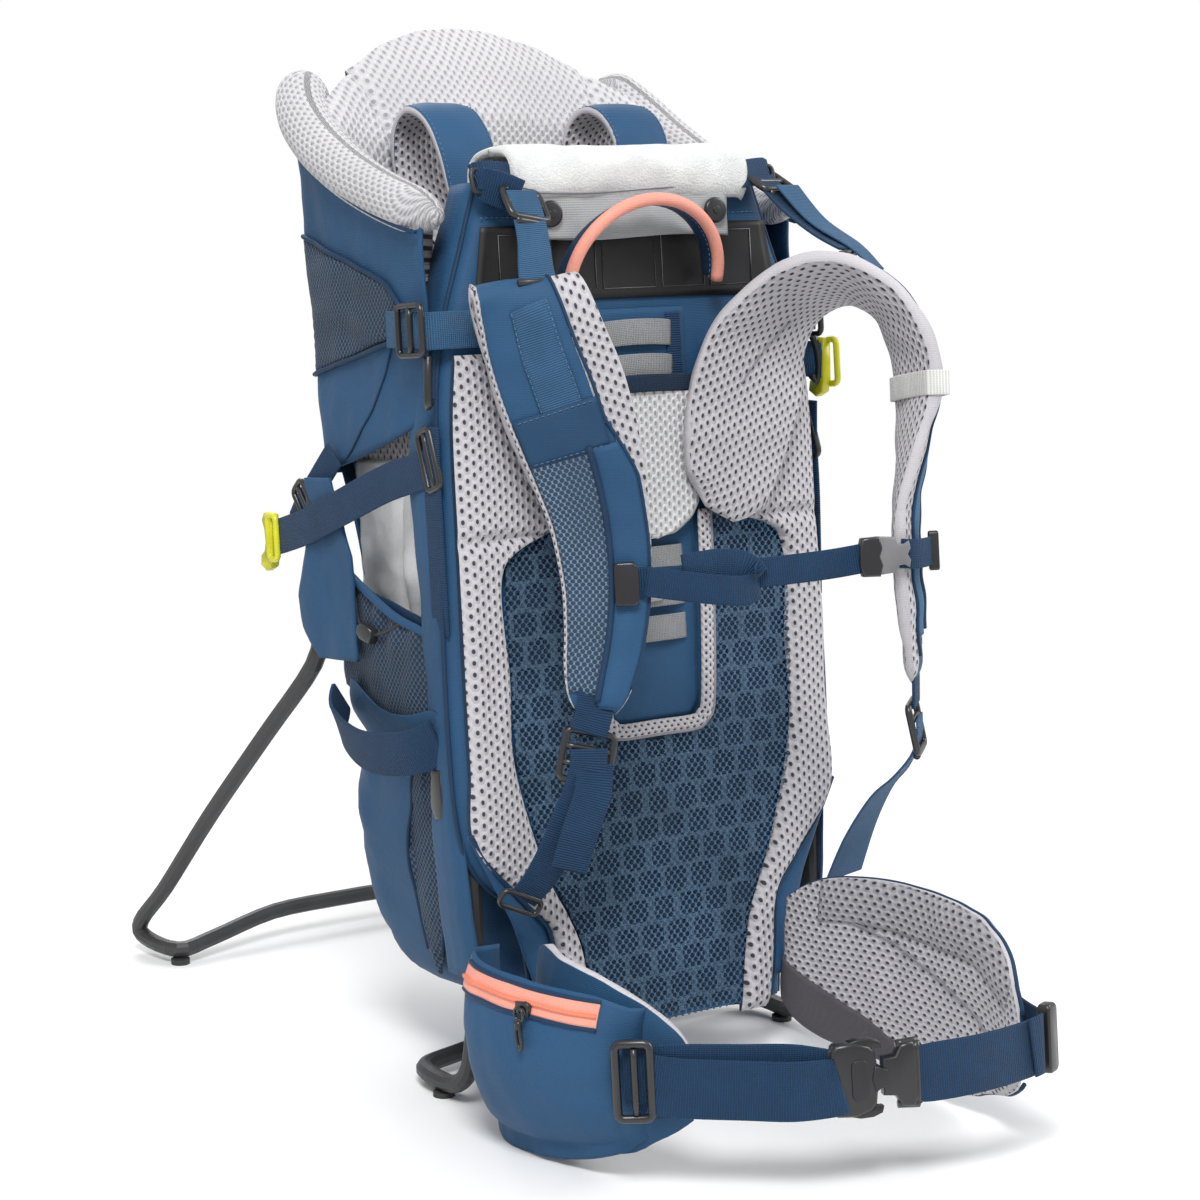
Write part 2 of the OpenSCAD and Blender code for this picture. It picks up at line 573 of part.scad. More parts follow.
main_frame();
side_struts();
base_lugs();
kickstand_tube();
stand_knuckles();
stand_lugs();
stand_pivots();
back_board();
panel_fabric();
foam_grid();
back_mesh();
back_pads();
channel_trim();
adjust_sleeve();
adjust_ladder();
yoke_tongue();
label_patch();
grab_handle();
chin_pad();
snap_buttons();
cockpit_shell();
cockpit_collar();
headrest();
seat_pad();
seat_sides();
child_back_pad();
child_harness();
harness_buckle();
harness_button();
lower_bag();
side_pockets();
hinge_covers();
foot_stirrups();
side_straps();
side_sliders();
entry_straps();
entry_clip_left();
entry_clip_right();
shoulder_pad_left();
shoulder_pad_right();
shoulder_lock_left();
shoulder_lock_right();
harness_webbing();
load_lock_left();
load_lock_right();
sternum_rails();
sternum_strap();
sternum_buckle();
hose_loop();
hip_fin_left();
hip_fin_right();
hip_pocket();
pocket_zip();
zip_slider();
zip_pull();
hip_webbing();
belt_sliders();
hip_buckle();
hip_prong_upper();
hip_prong_lower();
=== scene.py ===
"""Child carrier backpack: the looks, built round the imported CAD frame."""

import json
import math

import bpy
import numpy as np
from mathutils import Matrix, Vector, noise

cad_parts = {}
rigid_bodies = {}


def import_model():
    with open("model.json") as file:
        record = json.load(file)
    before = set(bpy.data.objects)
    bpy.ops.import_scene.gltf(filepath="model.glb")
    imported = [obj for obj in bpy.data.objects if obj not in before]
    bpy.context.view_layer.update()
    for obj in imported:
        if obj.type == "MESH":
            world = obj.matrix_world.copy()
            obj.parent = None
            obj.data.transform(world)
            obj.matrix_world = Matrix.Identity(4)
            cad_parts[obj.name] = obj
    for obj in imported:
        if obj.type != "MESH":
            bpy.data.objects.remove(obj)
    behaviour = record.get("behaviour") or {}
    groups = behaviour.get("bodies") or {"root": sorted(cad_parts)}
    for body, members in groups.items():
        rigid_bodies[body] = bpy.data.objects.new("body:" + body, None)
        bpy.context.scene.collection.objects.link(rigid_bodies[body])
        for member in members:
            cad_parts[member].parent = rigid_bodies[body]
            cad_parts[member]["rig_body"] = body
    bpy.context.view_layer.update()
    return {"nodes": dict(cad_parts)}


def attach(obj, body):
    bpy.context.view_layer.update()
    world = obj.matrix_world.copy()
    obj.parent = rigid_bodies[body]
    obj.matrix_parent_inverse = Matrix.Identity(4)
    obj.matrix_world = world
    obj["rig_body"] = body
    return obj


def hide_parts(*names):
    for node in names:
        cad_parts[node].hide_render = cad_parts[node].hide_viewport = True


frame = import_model()
nodes = frame["nodes"]

# ---- Space: the pack is described upright in millimetres, then leans back -----------------
LEAN = math.radians(5.5)
SHIFT = np.array([0.0, -119.0, 0.0])
TURN = np.array(
    [
        [1, 0, 0],
        [0, math.cos(LEAN), math.sin(LEAN)],
        [0, -math.sin(LEAN), math.cos(LEAN)],
    ]
)
MM = 0.001
SIDES = ((-1, "left"), (1, "right"))


def pack(points):
    """Pack-space millimetres to metres in the shared frame."""
    return (np.asarray(points, float) @ TURN.T + SHIFT) * MM


def stood(points):
    """Millimetres in the standing frame to metres in the shared frame."""
    return (np.asarray(points, float) + SHIFT) * MM


def ripple(a, b, c):
    """Smooth noise between about -1 and 1."""
    return noise.noise(Vector((a, b, c)))


def sampled(us, vs, place):
    """A sheet's rows and its flat map: place(u, v) gives a point and its spot on the cloth."""
    pairs = [[place(u, v) for u in us] for v in vs]
    return [[p for p, _ in row] for row in pairs], [[q for _, q in row] for row in pairs]


def circle_outline(radius, count):
    """A flat circle, as a block's outline."""
    turns = np.linspace(0, 2 * math.pi, count, endpoint=False)
    return [[radius * math.cos(a), radius * math.sin(a)] for a in turns]


def unit(v):
    v = np.asarray(v, float)
    return v / np.linalg.norm(v, axis=-1, keepdims=True)


# ---- Curves ------------------------------------------------------------------------------
def smooth(rows, step=4.0):
    """Rows of numbers on a smooth curve through the given rows, about step mm apart."""
    rows = np.asarray(rows, float)
    out = []
    last = len(rows) - 1
    for i in range(last):
        a, b, c, d = rows[max(i - 1, 0)], rows[i], rows[i + 1], rows[min(i + 2, last)]
        n = max(2, int(round(np.linalg.norm(c[:3] - b[:3]) / step)))
        for k in range(n):
            t = k / n
            out.append(
                0.5
                * (
                    2 * b
                    + (c - a) * t
                    + (2 * a - 5 * b + 4 * c - d) * t * t
                    + (3 * b - a - 3 * c + d) * t**3
                )
            )
    out.append(rows[-1])
    return np.array(out)


def evenly(points, count):
    """A polyline resampled to count points at equal spacing."""
    points = np.asarray(points, float)
    far = np.concatenate([[0], np.cumsum(np.linalg.norm(np.diff(points, axis=0), axis=1))])
    at = np.linspace(0, far[-1], count)
    return np.stack([np.interp(at, far, points[:, k]) for k in range(points.shape[1])], 1)


def lengths(points):
    """How far along a polyline each of its points is."""
    gaps = np.linalg.norm(np.diff(points, axis=0), axis=1)
    return np.concatenate([[0], np.cumsum(gaps)])


def headings(points):
    """The direction of a polyline at each of its points."""
    ahead = np.vstack([points[1:], points[-1:]])
    behind = np.vstack([points[:1], points[:-1]])
    return unit(ahead - behind + 1e-12)


def square_to(sides, along):
    """Side directions made square to the directions along."""
    sides = np.asarray(sides, float)
    return unit(sides - np.sum(sides * along, axis=1, keepdims=True) * along)


# ---- Meshes ------------------------------------------------------------------------------
def new_object(name, verts, faces, body="pack", mats=(), face_mat=None, uv=None, flat=False):
    """A mesh object that rides on a body. verts are metres in the shared frame."""
    mesh = bpy.data.meshes.new(name)
    mesh.from_pydata([tuple(v) for v in np.asarray(verts, float)], [], [tuple(f) for f in faces])
    for m in mats:
        mesh.materials.append(m)
    if face_mat is not None:
        mesh.polygons.foreach_set("material_index", np.asarray(face_mat, np.int32))
    if uv is not None:
        layer = mesh.uv_layers.new(name="UVMap")
        loops = np.empty(len(mesh.loops), np.int32)
        mesh.loops.foreach_get("vertex_index", loops)
        layer.data.foreach_set("uv", np.asarray(uv, np.float32)[loops].ravel())
    mesh.polygons.foreach_set("use_smooth", [not flat] * len(mesh.polygons))
    mesh.update()
    obj = bpy.data.objects.new(name, mesh)
    bpy.context.scene.collection.objects.link(obj)
    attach(obj, body)
    return obj


def skin(name, rings, uvs, body="pack", mats=(), lane_mat=None, caps=True, closed=True, **more):
    """A skin through rings of points, round each ring and along from ring to ring."""
    rings = np.asarray(rings, float)
    count, n = rings.shape[:2]
    lanes = n if closed else n - 1
    faces, face_mat = [], []
    for k in range(count - 1):
        for i in range(lanes):
            j = (i + 1) % n
            faces.append((k * n + i, k * n + j, (k + 1) * n + j, (k + 1) * n + i))
            face_mat.append(lane_mat[i] if lane_mat is not None else 0)
    if caps and closed:
        for ring in (range(n - 1, -1, -1), range((count - 1) * n, count * n)):
            faces.append(tuple(ring))
            face_mat.append(lane_mat[0] if lane_mat is not None else 0)
    return new_object(
        name,
        rings.reshape(-1, 3),
        faces,
        body,
        mats,
        face_mat,
        np.asarray(uvs, float).reshape(-1, 2),
        **more,
    )


def pad_section(half_count=10, edge=0.35, power=2.6):
    """(across, height) points round a padded strip's section, front face first.
    across runs from -1 to 1, height from -1 at the back to 1 at the front."""
    across = np.sin(np.linspace(-math.pi / 2, math.pi / 2, half_count))
    crown = edge + (1 - edge) * (1 - np.abs(across) ** power)
    front = np.stack([across, crown], 1)
    back = np.stack([across[::-1], -crown[::-1]], 1)
    return np.vstack([front, back]), half_count


def strip(name, rows, front, back=None, rim=None, body="pack", edge=0.35, power=2.6, half=12,
          step=4.0, round_ends=True, wrinkle=0.0, flip=False, space=pack, square=True):
    """A padded strip. rows are [x, y, z, side x, side y, side z, width, thickness] in mm.
    front and back are the materials of its two faces and rim of its edges."""
    fine = smooth(rows, step)
    centre = fine[:, :3]
    along = headings(centre)
    side = square_to(fine[:, 3:6], along) if square else unit(fine[:, 3:6])
    up = np.cross(along, side) * (-1 if flip else 1)
    far = lengths(centre)
    section, n = pad_section(half, edge, power)
    wide = fine[:, 6] / 2
    thick = fine[:, 7] / 2
    if round_ends:
        inset = np.minimum(far, far[-1] - far)
        close = np.clip(inset / (1.4 * fine[:, 7] + 1e-6), 0, 1)
        thick = thick * np.sqrt(np.clip(1 - (1 - close) ** 2, 0.03, 1))
        corner = np.clip(inset / (0.5 * fine[:, 6]), 0, 1)
        wide = wide * np.clip(1 - 0.16 * (1 - corner) ** 3, 0, 1)
    rings, uvs = [], []
    for k in range(len(fine)):
        ring = (
            centre[k]
            + section[:, :1] * wide[k] * side[k]
            + section[:, 1:] * thick[k] * up[k]
        )
        if wrinkle:
            for i, p in enumerate(ring):
                q = Vector(p / 26.0)
                ring[i] = p + up[k] * wrinkle * noise.noise(q) * section[i, 1]
        rings.append(ring)
        uvs.append(np.stack([section[:, 0] * wide[k], np.full(len(section), far[k])], 1) * MM)
    lanes = [0] * (n - 1) + [2] + [1] * (n - 1) + [2]
    mats = [front, back or front, rim or front]
    return skin(name, space(np.array(rings).reshape(-1, 3)).reshape(len(rings), -1, 3), uvs, body,
                mats, lanes)


def tube(name, points, r, mat, body="pack", sides=12, space=pack, closed=False, uv_scale=1.0):
    """A round tube along mm points. r is one radius or one for each point."""
    points = np.asarray(points, float)
    if closed:
        points = np.vstack([points, points[:1]])
    along = headings(points)
    if closed:
        along[0] = along[-1] = unit(points[1] - points[-2])
    up = np.array([0.0, 0.0, 1.0]) if abs(along[0][2]) < 0.9 else np.array([1.0, 0.0, 0.0])
    r = np.broadcast_to(np.asarray(r, float), (len(points),))
    angles = np.linspace(0, 2 * math.pi, sides, endpoint=False)
    far = lengths(points)
    rings, uvs = [], []
    for k, (p, t) in enumerate(zip(points, along)):
        up = unit(up - np.dot(up, t) * t)
        side = np.cross(t, up)
        ring = p + r[k] * (np.cos(angles)[:, None] * up + np.sin(angles)[:, None] * side)
        rings.append(ring)
        uvs.append(np.stack([angles * r[k], np.full(sides, far[k])], 1) * MM * uv_scale)
    return skin(name, space(np.array(rings).reshape(-1, 3)).reshape(len(rings), -1, 3), uvs, body,
                [mat], None, not closed)


def web_strap(name, rows, mat, body="pack", thick=1.7, step=3.0, space=pack):
    """Webbing. rows are [x, y, z, side x, side y, side z, width] in mm."""
    fine = smooth(rows, step)
    centre = fine[:, :3]
    along = headings(centre)
    side = square_to(fine[:, 3:6], along)
    up = np.cross(along, side)
    far = lengths(centre)
    h = thick / 2
    rings, uvs = [], []
    for k in range(len(fine)):
        w = fine[k, 6] / 2
        section = np.array(
            [[-w, 0], [-w + 0.3, h * 0.8], [-w + 1.2, h], [0, h], [w - 1.2, h], [w - 0.3, h * 0.8],
             [w, 0], [w - 0.3, -h * 0.8], [w - 1.2, -h], [0, -h], [-w + 1.2, -h],
             [-w + 0.3, -h * 0.8]]
        )
        rings.append(centre[k] + section[:, :1] * side[k] + section[:, 1:] * up[k])
        uvs.append(np.stack([section[:, 0], np.full(len(section), far[k])], 1) * MM)
    return skin(name, space(np.array(rings).reshape(-1, 3)).reshape(len(rings), -1, 3), uvs, body,
                [mat])


def stitches(name, points, mat, body="pack", long=2.6, gap=1.5, r=0.4, space=pack):
    """A row of short thread stitches along mm points."""
    points = np.asarray(points, float)
    far = lengths(points)
    starts = np.arange(gap, far[-1] - long, long + gap)
    verts, faces = [], []
    for s in starts:
        at = np.stack([np.interp([s, s + long], far, points[:, k]) for k in range(3)], 1)
        t = unit(at[1] - at[0])
        a = unit(np.cross(t, [0.31, 0.22, 0.93]))
        b = np.cross(t, a)
        base = len(verts)
        for p, k in ((at[0], 0.45), ((at[0] + at[1]) / 2, 1.0), (at[1], 0.45)):
            verts += [p + a * r * k, p + b * r * k, p - a * r * k, p - b * r * k]
        for ring in range(2):
            for i in range(4):
                j = (i + 1) % 4
                o = base + 4 * ring
                faces.append((o + i, o + j, o + 4 + j, o + 4 + i))
        faces.append((base + 3, base + 2, base + 1, base))
        faces.append((base + 8, base + 9, base + 10, base + 11))
    return new_object(name, space(np.array(verts)), faces, body, [mat])


def sheet_between(name, left, right, front, back=None, rim=None, body="pack", count=(24, 40),
                  bulge=0.0, thick=2.0, outward=(0, -1, 0), edge=0.25, power=2.6, puff=None,
                  square_ends=False, body_space=pack):
    """A padded patch between a left and a right line of mm points, crowned by bulge mm.
    puff(u, v) may give more height in mm, u and v running from 0 to 1 across and along."""
    nu, nv = count
    left = evenly(left, nv)
    right = evenly(right, nv)
    outward = unit(outward)
    u = 0.5 + 0.5 * np.sin(np.linspace(-math.pi / 2, math.pi / 2, nu))
    far = lengths((left + right) / 2)
    rings, uvs = [], []
    for k in range(nv):
        line = left[k] + (right[k] - left[k]) * u[:, None]
        across = np.abs(2 * u - 1)
        inset = min(k, nv - 1 - k) / (nv - 1) * far[-1]
        close = 1.0 if square_ends else math.sqrt(1 - (1 - min(inset / (bulge + thick + 0.01), 1)) ** 2)
        high = (edge + (1 - edge) * (1 - across**power)) * max(close, 0.05)
        top = high * bulge + thick / 2
        if puff is not None:
            top = top + np.array([puff(x, k / (nv - 1)) for x in u]) * np.minimum(1, high * 2)
        front_line = line + outward * top[:, None]
        back_line = line - outward * (thick / 2)
        rings.append(np.vstack([front_line, back_line[::-1]]))
        flat = np.stack([line[:, 0] + line[:, 1] * 0.3, line[:, 2]], 1)
        uvs.append(np.vstack([flat, flat[::-1]]) * MM)
    lanes = [0] * (nu - 1) + [2] + [1] * (nu - 1) + [2]
    mats = [front, back or front, rim or front]
    rings = np.array(rings)
    return skin(name, body_space(rings.reshape(-1, 3)).reshape(rings.shape), uvs, body, mats, lanes)


def bevelled(node, width=0.6, segments=3, angle=40):
    """A bevel and smooth shading on a CAD part that stays."""
    obj = nodes[node]
    bev = obj.modifiers.new("edges", "BEVEL")
    bev.width = width * MM
    bev.segments = segments
    bev.limit_method = "ANGLE"
    bev.angle_limit = math.radians(angle)
    bev.harden_normals = True
    obj.data.polygons.foreach_set("use_smooth", [True] * len(obj.data.polygons))
    return obj


def dressed(node, mat):
    """A CAD part keeps its shape and gets a material."""
    obj = nodes[node]
    obj.data.materials.clear()
    obj.data.materials.append(mat)
    obj.data.polygons.foreach_set("material_index", [0] * len(obj.data.polygons))
    return obj


# ---- Materials ---------------------------------------------------------------------------
class Shader:
    """A Principled material with small helpers for its node tree."""

    def __init__(self, name, color, rough=0.7, metal=0.0, sheen=0.0, coat=0.0, specular=0.5):
        self.mat = bpy.data.materials.new(name)
        self.mat.use_nodes = True
        self.tree = self.mat.node_tree
        self.tree.nodes.clear()
        self.out = self.add("ShaderNodeOutputMaterial")
        self.bsdf = self.add("ShaderNodeBsdfPrincipled")
        self.link(self.bsdf.outputs["BSDF"], self.out.inputs["Surface"])
        self.color = color
        self.put("Base Color", (*color, 1))
        self.put("Roughness", rough)
        self.put("Metallic", metal)
        self.put("Specular IOR Level", specular)
        if sheen:
            self.put("Sheen Weight", sheen)
            self.put("Sheen Roughness", 0.4)
        if coat:
            self.put("Coat Weight", coat)
            self.put("Coat Roughness", 0.25)
        self.high = None
        self.mat.diffuse_color = (*color, 1)

    def add(self, kind, **settings):
        node = self.tree.nodes.new(kind)
        for key, value in settings.items():
            setattr(node, key, value)
        return node

    def link(self, a, b):
        self.tree.links.new(a, b)

    def put(self, name, value):
        self.bsdf.inputs[name].default_value = value

    def feed(self, socket, value):
        if isinstance(value, (int, float, tuple)):
            socket.default_value = value
        else:
            self.link(value, socket)

    def math(self, operation, a, b=0.0, c=None, clamp=False):
        node = self.add("ShaderNodeMath", operation=operation, use_clamp=clamp)
        self.feed(node.inputs[0], a)
        self.feed(node.inputs[1], b)
        if c is not None:
            self.feed(node.inputs[2], c)
        return node.outputs[0]

    def vector(self, operation, a, b=(0, 0, 0)):
        node = self.add("ShaderNodeVectorMath", operation=operation)
        self.feed(node.inputs[0], a)
        if operation == "SCALE":
            self.feed(node.inputs["Scale"], b)
        elif operation != "LENGTH" and operation != "FRACTION":
            self.feed(node.inputs[1], b)
        return node.outputs["Value" if operation == "LENGTH" else "Vector"]

    def uv(self):
        return self.add("ShaderNodeUVMap", uv_map="UVMap").outputs[0]

    def place(self):
        return self.add("ShaderNodeTexCoord").outputs["Object"]

    def noise(self, where, scale, detail=2.0, rough=0.5):
        node = self.add("ShaderNodeTexNoise")
        self.link(where, node.inputs["Vector"])
        node.inputs["Scale"].default_value = scale
        node.inputs["Detail"].default_value = detail
        node.inputs["Roughness"].default_value = rough
        return node.outputs[0]

    def span(self, value, a, b, c=0.0, d=1.0, soft=True):
        node = self.add("ShaderNodeMapRange", interpolation_type="SMOOTHSTEP" if soft else "LINEAR")
        self.feed(node.inputs[0], value)
        for i, v in enumerate((a, b, c, d)):
            self.feed(node.inputs[i + 1], v)
        return node.outputs[0]

    def mix(self, share, a, b):
        node = self.add("ShaderNodeMix", data_type="RGBA")
        self.feed(node.inputs[0], share)
        self.feed(node.inputs[6], (*a, 1) if isinstance(a, tuple) and len(a) == 3 else a)
        self.feed(node.inputs[7], (*b, 1) if isinstance(b, tuple) and len(b) == 3 else b)
        return node.outputs[2]

    def paint(self, socket):
        self.link(socket, self.bsdf.inputs["Base Color"])

    def bump(self, height, distance, strength=1.0):
        node = self.add("ShaderNodeBump")
        node.inputs["Strength"].default_value = strength
        node.inputs["Distance"].default_value = distance
        self.link(height, node.inputs["Height"])
        if self.high is not None:
            self.link(self.high, node.inputs["Normal"])
        self.high = node.outputs[0]
        self.link(self.high, self.bsdf.inputs["Normal"])


def shade(color, k):
    return tuple(min(1.0, c * k) for c in color)


def lattice(s, across, along, wide, tall, swap=False):
    """How far a point is from the nearest spot of a staggered lattice, 1 at a spot's rim."""
    u = s.uv()
    node = s.add("ShaderNodeSeparateXYZ")
    s.link(u, node.inputs[0])
    x, y = (node.outputs[1], node.outputs[0]) if swap else (node.outputs[0], node.outputs[1])
    near = []
    for shift in (0.0, 0.5):
        parts = []
        for value, pitch, size in ((x, across, wide), (y, along, tall)):
            cell = s.math("MULTIPLY_ADD", value, 1.0 / pitch, shift + 100.0)
            off = s.math("SUBTRACT", s.math("FRACT", cell), 0.5)
            parts.append(s.math("POWER", s.math("MULTIPLY", off, pitch / size * 2), 2.0))
        near.append(s.math("ADD", parts[0], parts[1]))
    return s.math("SQRT", s.math("MINIMUM", near[0], near[1]))


def spacer_mesh(name, color, hole_shade, across=0.0088, along=0.0078, wide=0.0021, tall=0.0034,
                swap=False, soft=0.75):
    """Light knitted mesh with punched ovals painted dark for the shaded layer seen through them, and
    painted shade in the dimple round each.
    """
    s = Shader(name, color, rough=0.85, sheen=0.25)
    far = lattice(s, across, along, wide, tall, swap)
    spot = s.span(far, soft, 1.25, 1.0, 0.0)
    dip = s.span(far, 0.8, 2.6, 1.0, 0.0)
    fine = s.noise(s.uv(), 1500.0, 1.0)
    cloud = s.noise(s.place(), 9.0, 2.0)
    base = s.mix(s.span(cloud, 0.3, 0.7), shade(color, 0.93), shade(color, 1.04))
    base = s.mix(s.math("MULTIPLY", s.span(fine, 0.35, 0.7), 0.25), base, shade(color, 0.72))
    # Painted shade: darker in the dimple round each hole.
    base = s.mix(s.math("MULTIPLY", dip, 0.22), base, shade(color, 0.6))
    # Painted shade: the holes take a dark colour for the shaded inner layer seen through them.
    s.paint(s.mix(spot, base, hole_shade))
    s.bump(fine, 0.0006, 0.5)
    s.bump(s.math("SUBTRACT", 1.0, dip), 0.0012, 0.8)
    return s.mat


def woven(name, color, rib=0.0011, deep=0.35, swap=False, gloss=0.62, cloud_scale=7.0):
    """Plain nylon cloth with fine ribs and slight colour change."""
    s = Shader(name, color, rough=gloss, sheen=0.06, specular=0.3)
    u = s.add("ShaderNodeSeparateXYZ")
    s.link(s.place(), u.inputs[0])
    wave = s.math("SINE", s.math("MULTIPLY", u.outputs[0 if swap else 2], 2 * math.pi / rib))
    cross = s.math("SINE", s.math("MULTIPLY", u.outputs[1 if swap else 0], 2 * math.pi / rib))
    fine = s.noise(s.place(), 900.0, 1.0)
    cloud = s.noise(s.place(), cloud_scale, 3.0)
    weave = s.math("MULTIPLY_ADD", wave, 0.5, s.math("MULTIPLY", cross, 0.22))
    tone = s.mix(s.span(cloud, 0.3, 0.7), shade(color, 0.88), shade(color, 1.12))
    grain = s.math("MULTIPLY", s.span(weave, -0.7, 0.7), 0.3)
    tone = s.mix(grain, tone, shade(color, 1.5))
    s.paint(s.mix(s.math("MULTIPLY", s.span(fine, 0.4, 0.7), 0.18), tone, shade(color, 0.6)))
    s.bump(weave, 0.0003, deep)
    s.bump(s.noise(s.place(), 60.0, 2.0), 0.0012, 0.35)
    return s.mat


def webbing(name, color, pitch=0.0016, deep=0.7, light=1.35):
    """Ribbed webbing: ribs run across its width."""
    s = Shader(name, color, rough=0.66, sheen=0.04, specular=0.3)
    u = s.add("ShaderNodeSeparateXYZ")
    s.link(s.uv(), u.inputs[0])
    rib = s.math("SINE", s.math("MULTIPLY", u.outputs[1], 2 * math.pi / pitch))
    warp = s.math("SINE", s.math("MULTIPLY", u.outputs[0], 2 * math.pi / 0.0012))
    high = s.math("MULTIPLY_ADD", warp, 0.35, rib)
    cloud = s.noise(s.uv(), 40.0, 2.0)
    tone = s.mix(s.span(cloud, 0.3, 0.7), shade(color, 0.85), shade(color, 1.15))
    s.paint(s.mix(s.math("MULTIPLY", s.span(high, -1.2, 1.2), 0.5), shade(color, 0.55), tone))
    tone2 = s.mix(s.span(high, -1.1, 1.1), shade(color, 0.6), shade(color, light))
    s.paint(s.mix(0.5, tone, tone2))
    s.bump(high, 0.0005, deep)
    return s.mat


def air_mesh(name, thread, deep, pitch=0.0034, tall=0.0046, swap=False):
    """Open net: light threads round small cells painted dark for the shaded cloth seen through them."""
    s = Shader(name, thread, rough=0.8, sheen=0.1)
    far = lattice(s, pitch, tall, pitch * 0.78, tall * 0.62, swap)
    cell = s.span(far, 0.7, 1.15, 1.0, 0.0)
    cloud = s.noise(s.place(), 14.0, 2.0)
    base = s.mix(s.span(cloud, 0.3, 0.7), shade(thread, 0.8), shade(thread, 1.2))
    # Painted shade: the open cells take a dark colour for the shaded cloth behind the net.
    s.paint(s.mix(cell, base, deep))
    s.bump(s.math("SUBTRACT", 1.0, cell), 0.0009, 0.9)
    return s.mat


def pile(name, color):
    """Short soft pile with a cloudy nap."""
    s = Shader(name, color, rough=0.95, sheen=0.6)
    fine = s.noise(s.place(), 700.0, 2.0, 0.7)
    nap = s.noise(s.place(), 38.0, 3.0)
    tone = s.mix(s.span(nap, 0.3, 0.7), shade(color, 0.86), shade(color, 1.05))
    s.paint(s.mix(s.math("MULTIPLY", s.span(fine, 0.3, 0.7), 0.35), tone, shade(color, 0.75)))
    s.bump(fine, 0.0016, 0.7)
    s.bump(nap, 0.004, 0.4)
    return s.mat


def moulded(name, color, rough=0.42, grain=0.25, coat=0.15, metal=0.0):
    """Moulded plastic, rubber or powder coat with a fine grain and a painted highlight on sharp edges."""
    s = Shader(name, color, rough=rough, coat=coat, metal=metal)
    fine = s.noise(s.place(), 1400.0, 2.0, 0.6)
    cloud = s.noise(s.place(), 30.0, 3.0)
    tone = s.mix(s.span(cloud, 0.35, 0.7), shade(color, 0.85), shade(color, 1.2))
    geo = s.add("ShaderNodeNewGeometry")
    # Painted highlight: sharp convex edges are made lighter.
    edge_highlight = s.span(geo.outputs["Pointiness"], 0.52, 0.6)
    s.paint(s.mix(s.math("MULTIPLY", edge_highlight, 0.4), tone, tuple(min(1, c * 1.6 + 0.03) for c in color)))
    s.link(s.span(cloud, 0.2, 0.8, rough * 0.85, rough * 1.15), s.bsdf.inputs["Roughness"])
    s.bump(fine, 0.0002, grain)
    return s.mat


def plain_thread(name, color):
    s = Shader(name, color, rough=0.8)
    fine = s.noise(s.place(), 1800.0, 1.0)
    s.paint(s.mix(s.span(fine, 0.3, 0.7), shade(color, 0.7), shade(color, 1.2)))
    return s.mat


def see_through_net(name, thread, pitch, tall):
    """A net that lets what is behind it show between its threads."""
    s = Shader(name, thread, rough=0.75, sheen=0.1)
    far = lattice(s, pitch, tall, pitch * 0.8, tall * 0.66)
    cell = s.span(far, 0.75, 1.1, 1.0, 0.0)
    cloud = s.noise(s.place(), 14.0, 2.0)
    s.paint(s.mix(s.span(cloud, 0.3, 0.7), shade(thread, 0.8), shade(thread, 1.25)))
    clear = s.add("ShaderNodeBsdfTransparent")
    blend_node = s.add("ShaderNodeMixShader")
    s.link(cell, blend_node.inputs[0])
    s.link(s.bsdf.outputs[0], blend_node.inputs[1])
    s.link(clear.outputs[0], blend_node.inputs[2])
    s.link(blend_node.outputs[0], s.out.inputs["Surface"])
    return s.mat


BLUE = (0.018, 0.074, 0.165)
BLUE_DARK = (0.008, 0.034, 0.082)
BLUE_WEB = (0.010, 0.043, 0.105)
BLUE_LIGHT = (0.040, 0.122, 0.235)
GREY = (0.56, 0.545, 0.575)
# Painted shade: the dark seen through the grey spacer mesh's holes.
HOLE_SHADE = (0.035, 0.035, 0.05)
BLACK = (0.012, 0.012, 0.014)

m_blue = woven("blue_cloth", BLUE)
m_blue_dark = woven("blue_cloth_dark", BLUE_DARK)
m_blue_light = woven("blue_cloth_light", BLUE_LIGHT, gloss=0.55)
m_web = webbing("blue_webbing", BLUE_WEB)
m_grey_web = webbing("grey_webbing", (0.30, 0.31, 0.32), pitch=0.0014)
m_mesh = spacer_mesh("grey_spacer_mesh", GREY, HOLE_SHADE)
m_knit = woven("grey_knit", shade(GREY, 0.92), rib=0.0012, gloss=0.85)
m_mesh_fine = spacer_mesh("grey_trim_mesh", shade(GREY, 1.05), HOLE_SHADE, 0.0062, 0.0056, 0.0016, 0.0024)
m_mesh_white = spacer_mesh("white_spacer_mesh", (0.78, 0.78, 0.79), (0.30, 0.30, 0.33), 0.008, 0.007)
m_net = air_mesh("blue_pocket_net", (0.05, 0.11, 0.20), (0.008, 0.02, 0.042), 0.0042, 0.0052)
m_fleece = pile("white_pile", (0.80, 0.81, 0.805))
m_lining = woven("white_lining", (0.74, 0.75, 0.755), rib=0.0008, deep=0.2, gloss=0.6)
m_silver = woven("silver_cloth", (0.36, 0.37, 0.375), rib=0.0016, gloss=0.38)
m_black = moulded("black_plastic", BLACK)
m_gloss = moulded("black_gloss_plastic", BLACK, rough=0.3, coat=0.3)
m_rubber = moulded("black_rubber", (0.018, 0.018, 0.018), rough=0.75, coat=0.0)
m_tube = moulded("dark_powder_coat", (0.035, 0.035, 0.037), rough=0.5, coat=0.1, metal=0.3)
m_steel = moulded("satin_steel", (0.5, 0.5, 0.52), rough=0.35, coat=0.0, metal=1.0)
m_yellow = moulded("yellow_plastic", (0.66, 0.64, 0.01), rough=0.35, coat=0.2)
m_red = moulded("red_plastic", (0.55, 0.04, 0.03), rough=0.35, coat=0.2)
m_grey_plastic = moulded("grey_plastic", (0.16, 0.16, 0.17), rough=0.45)
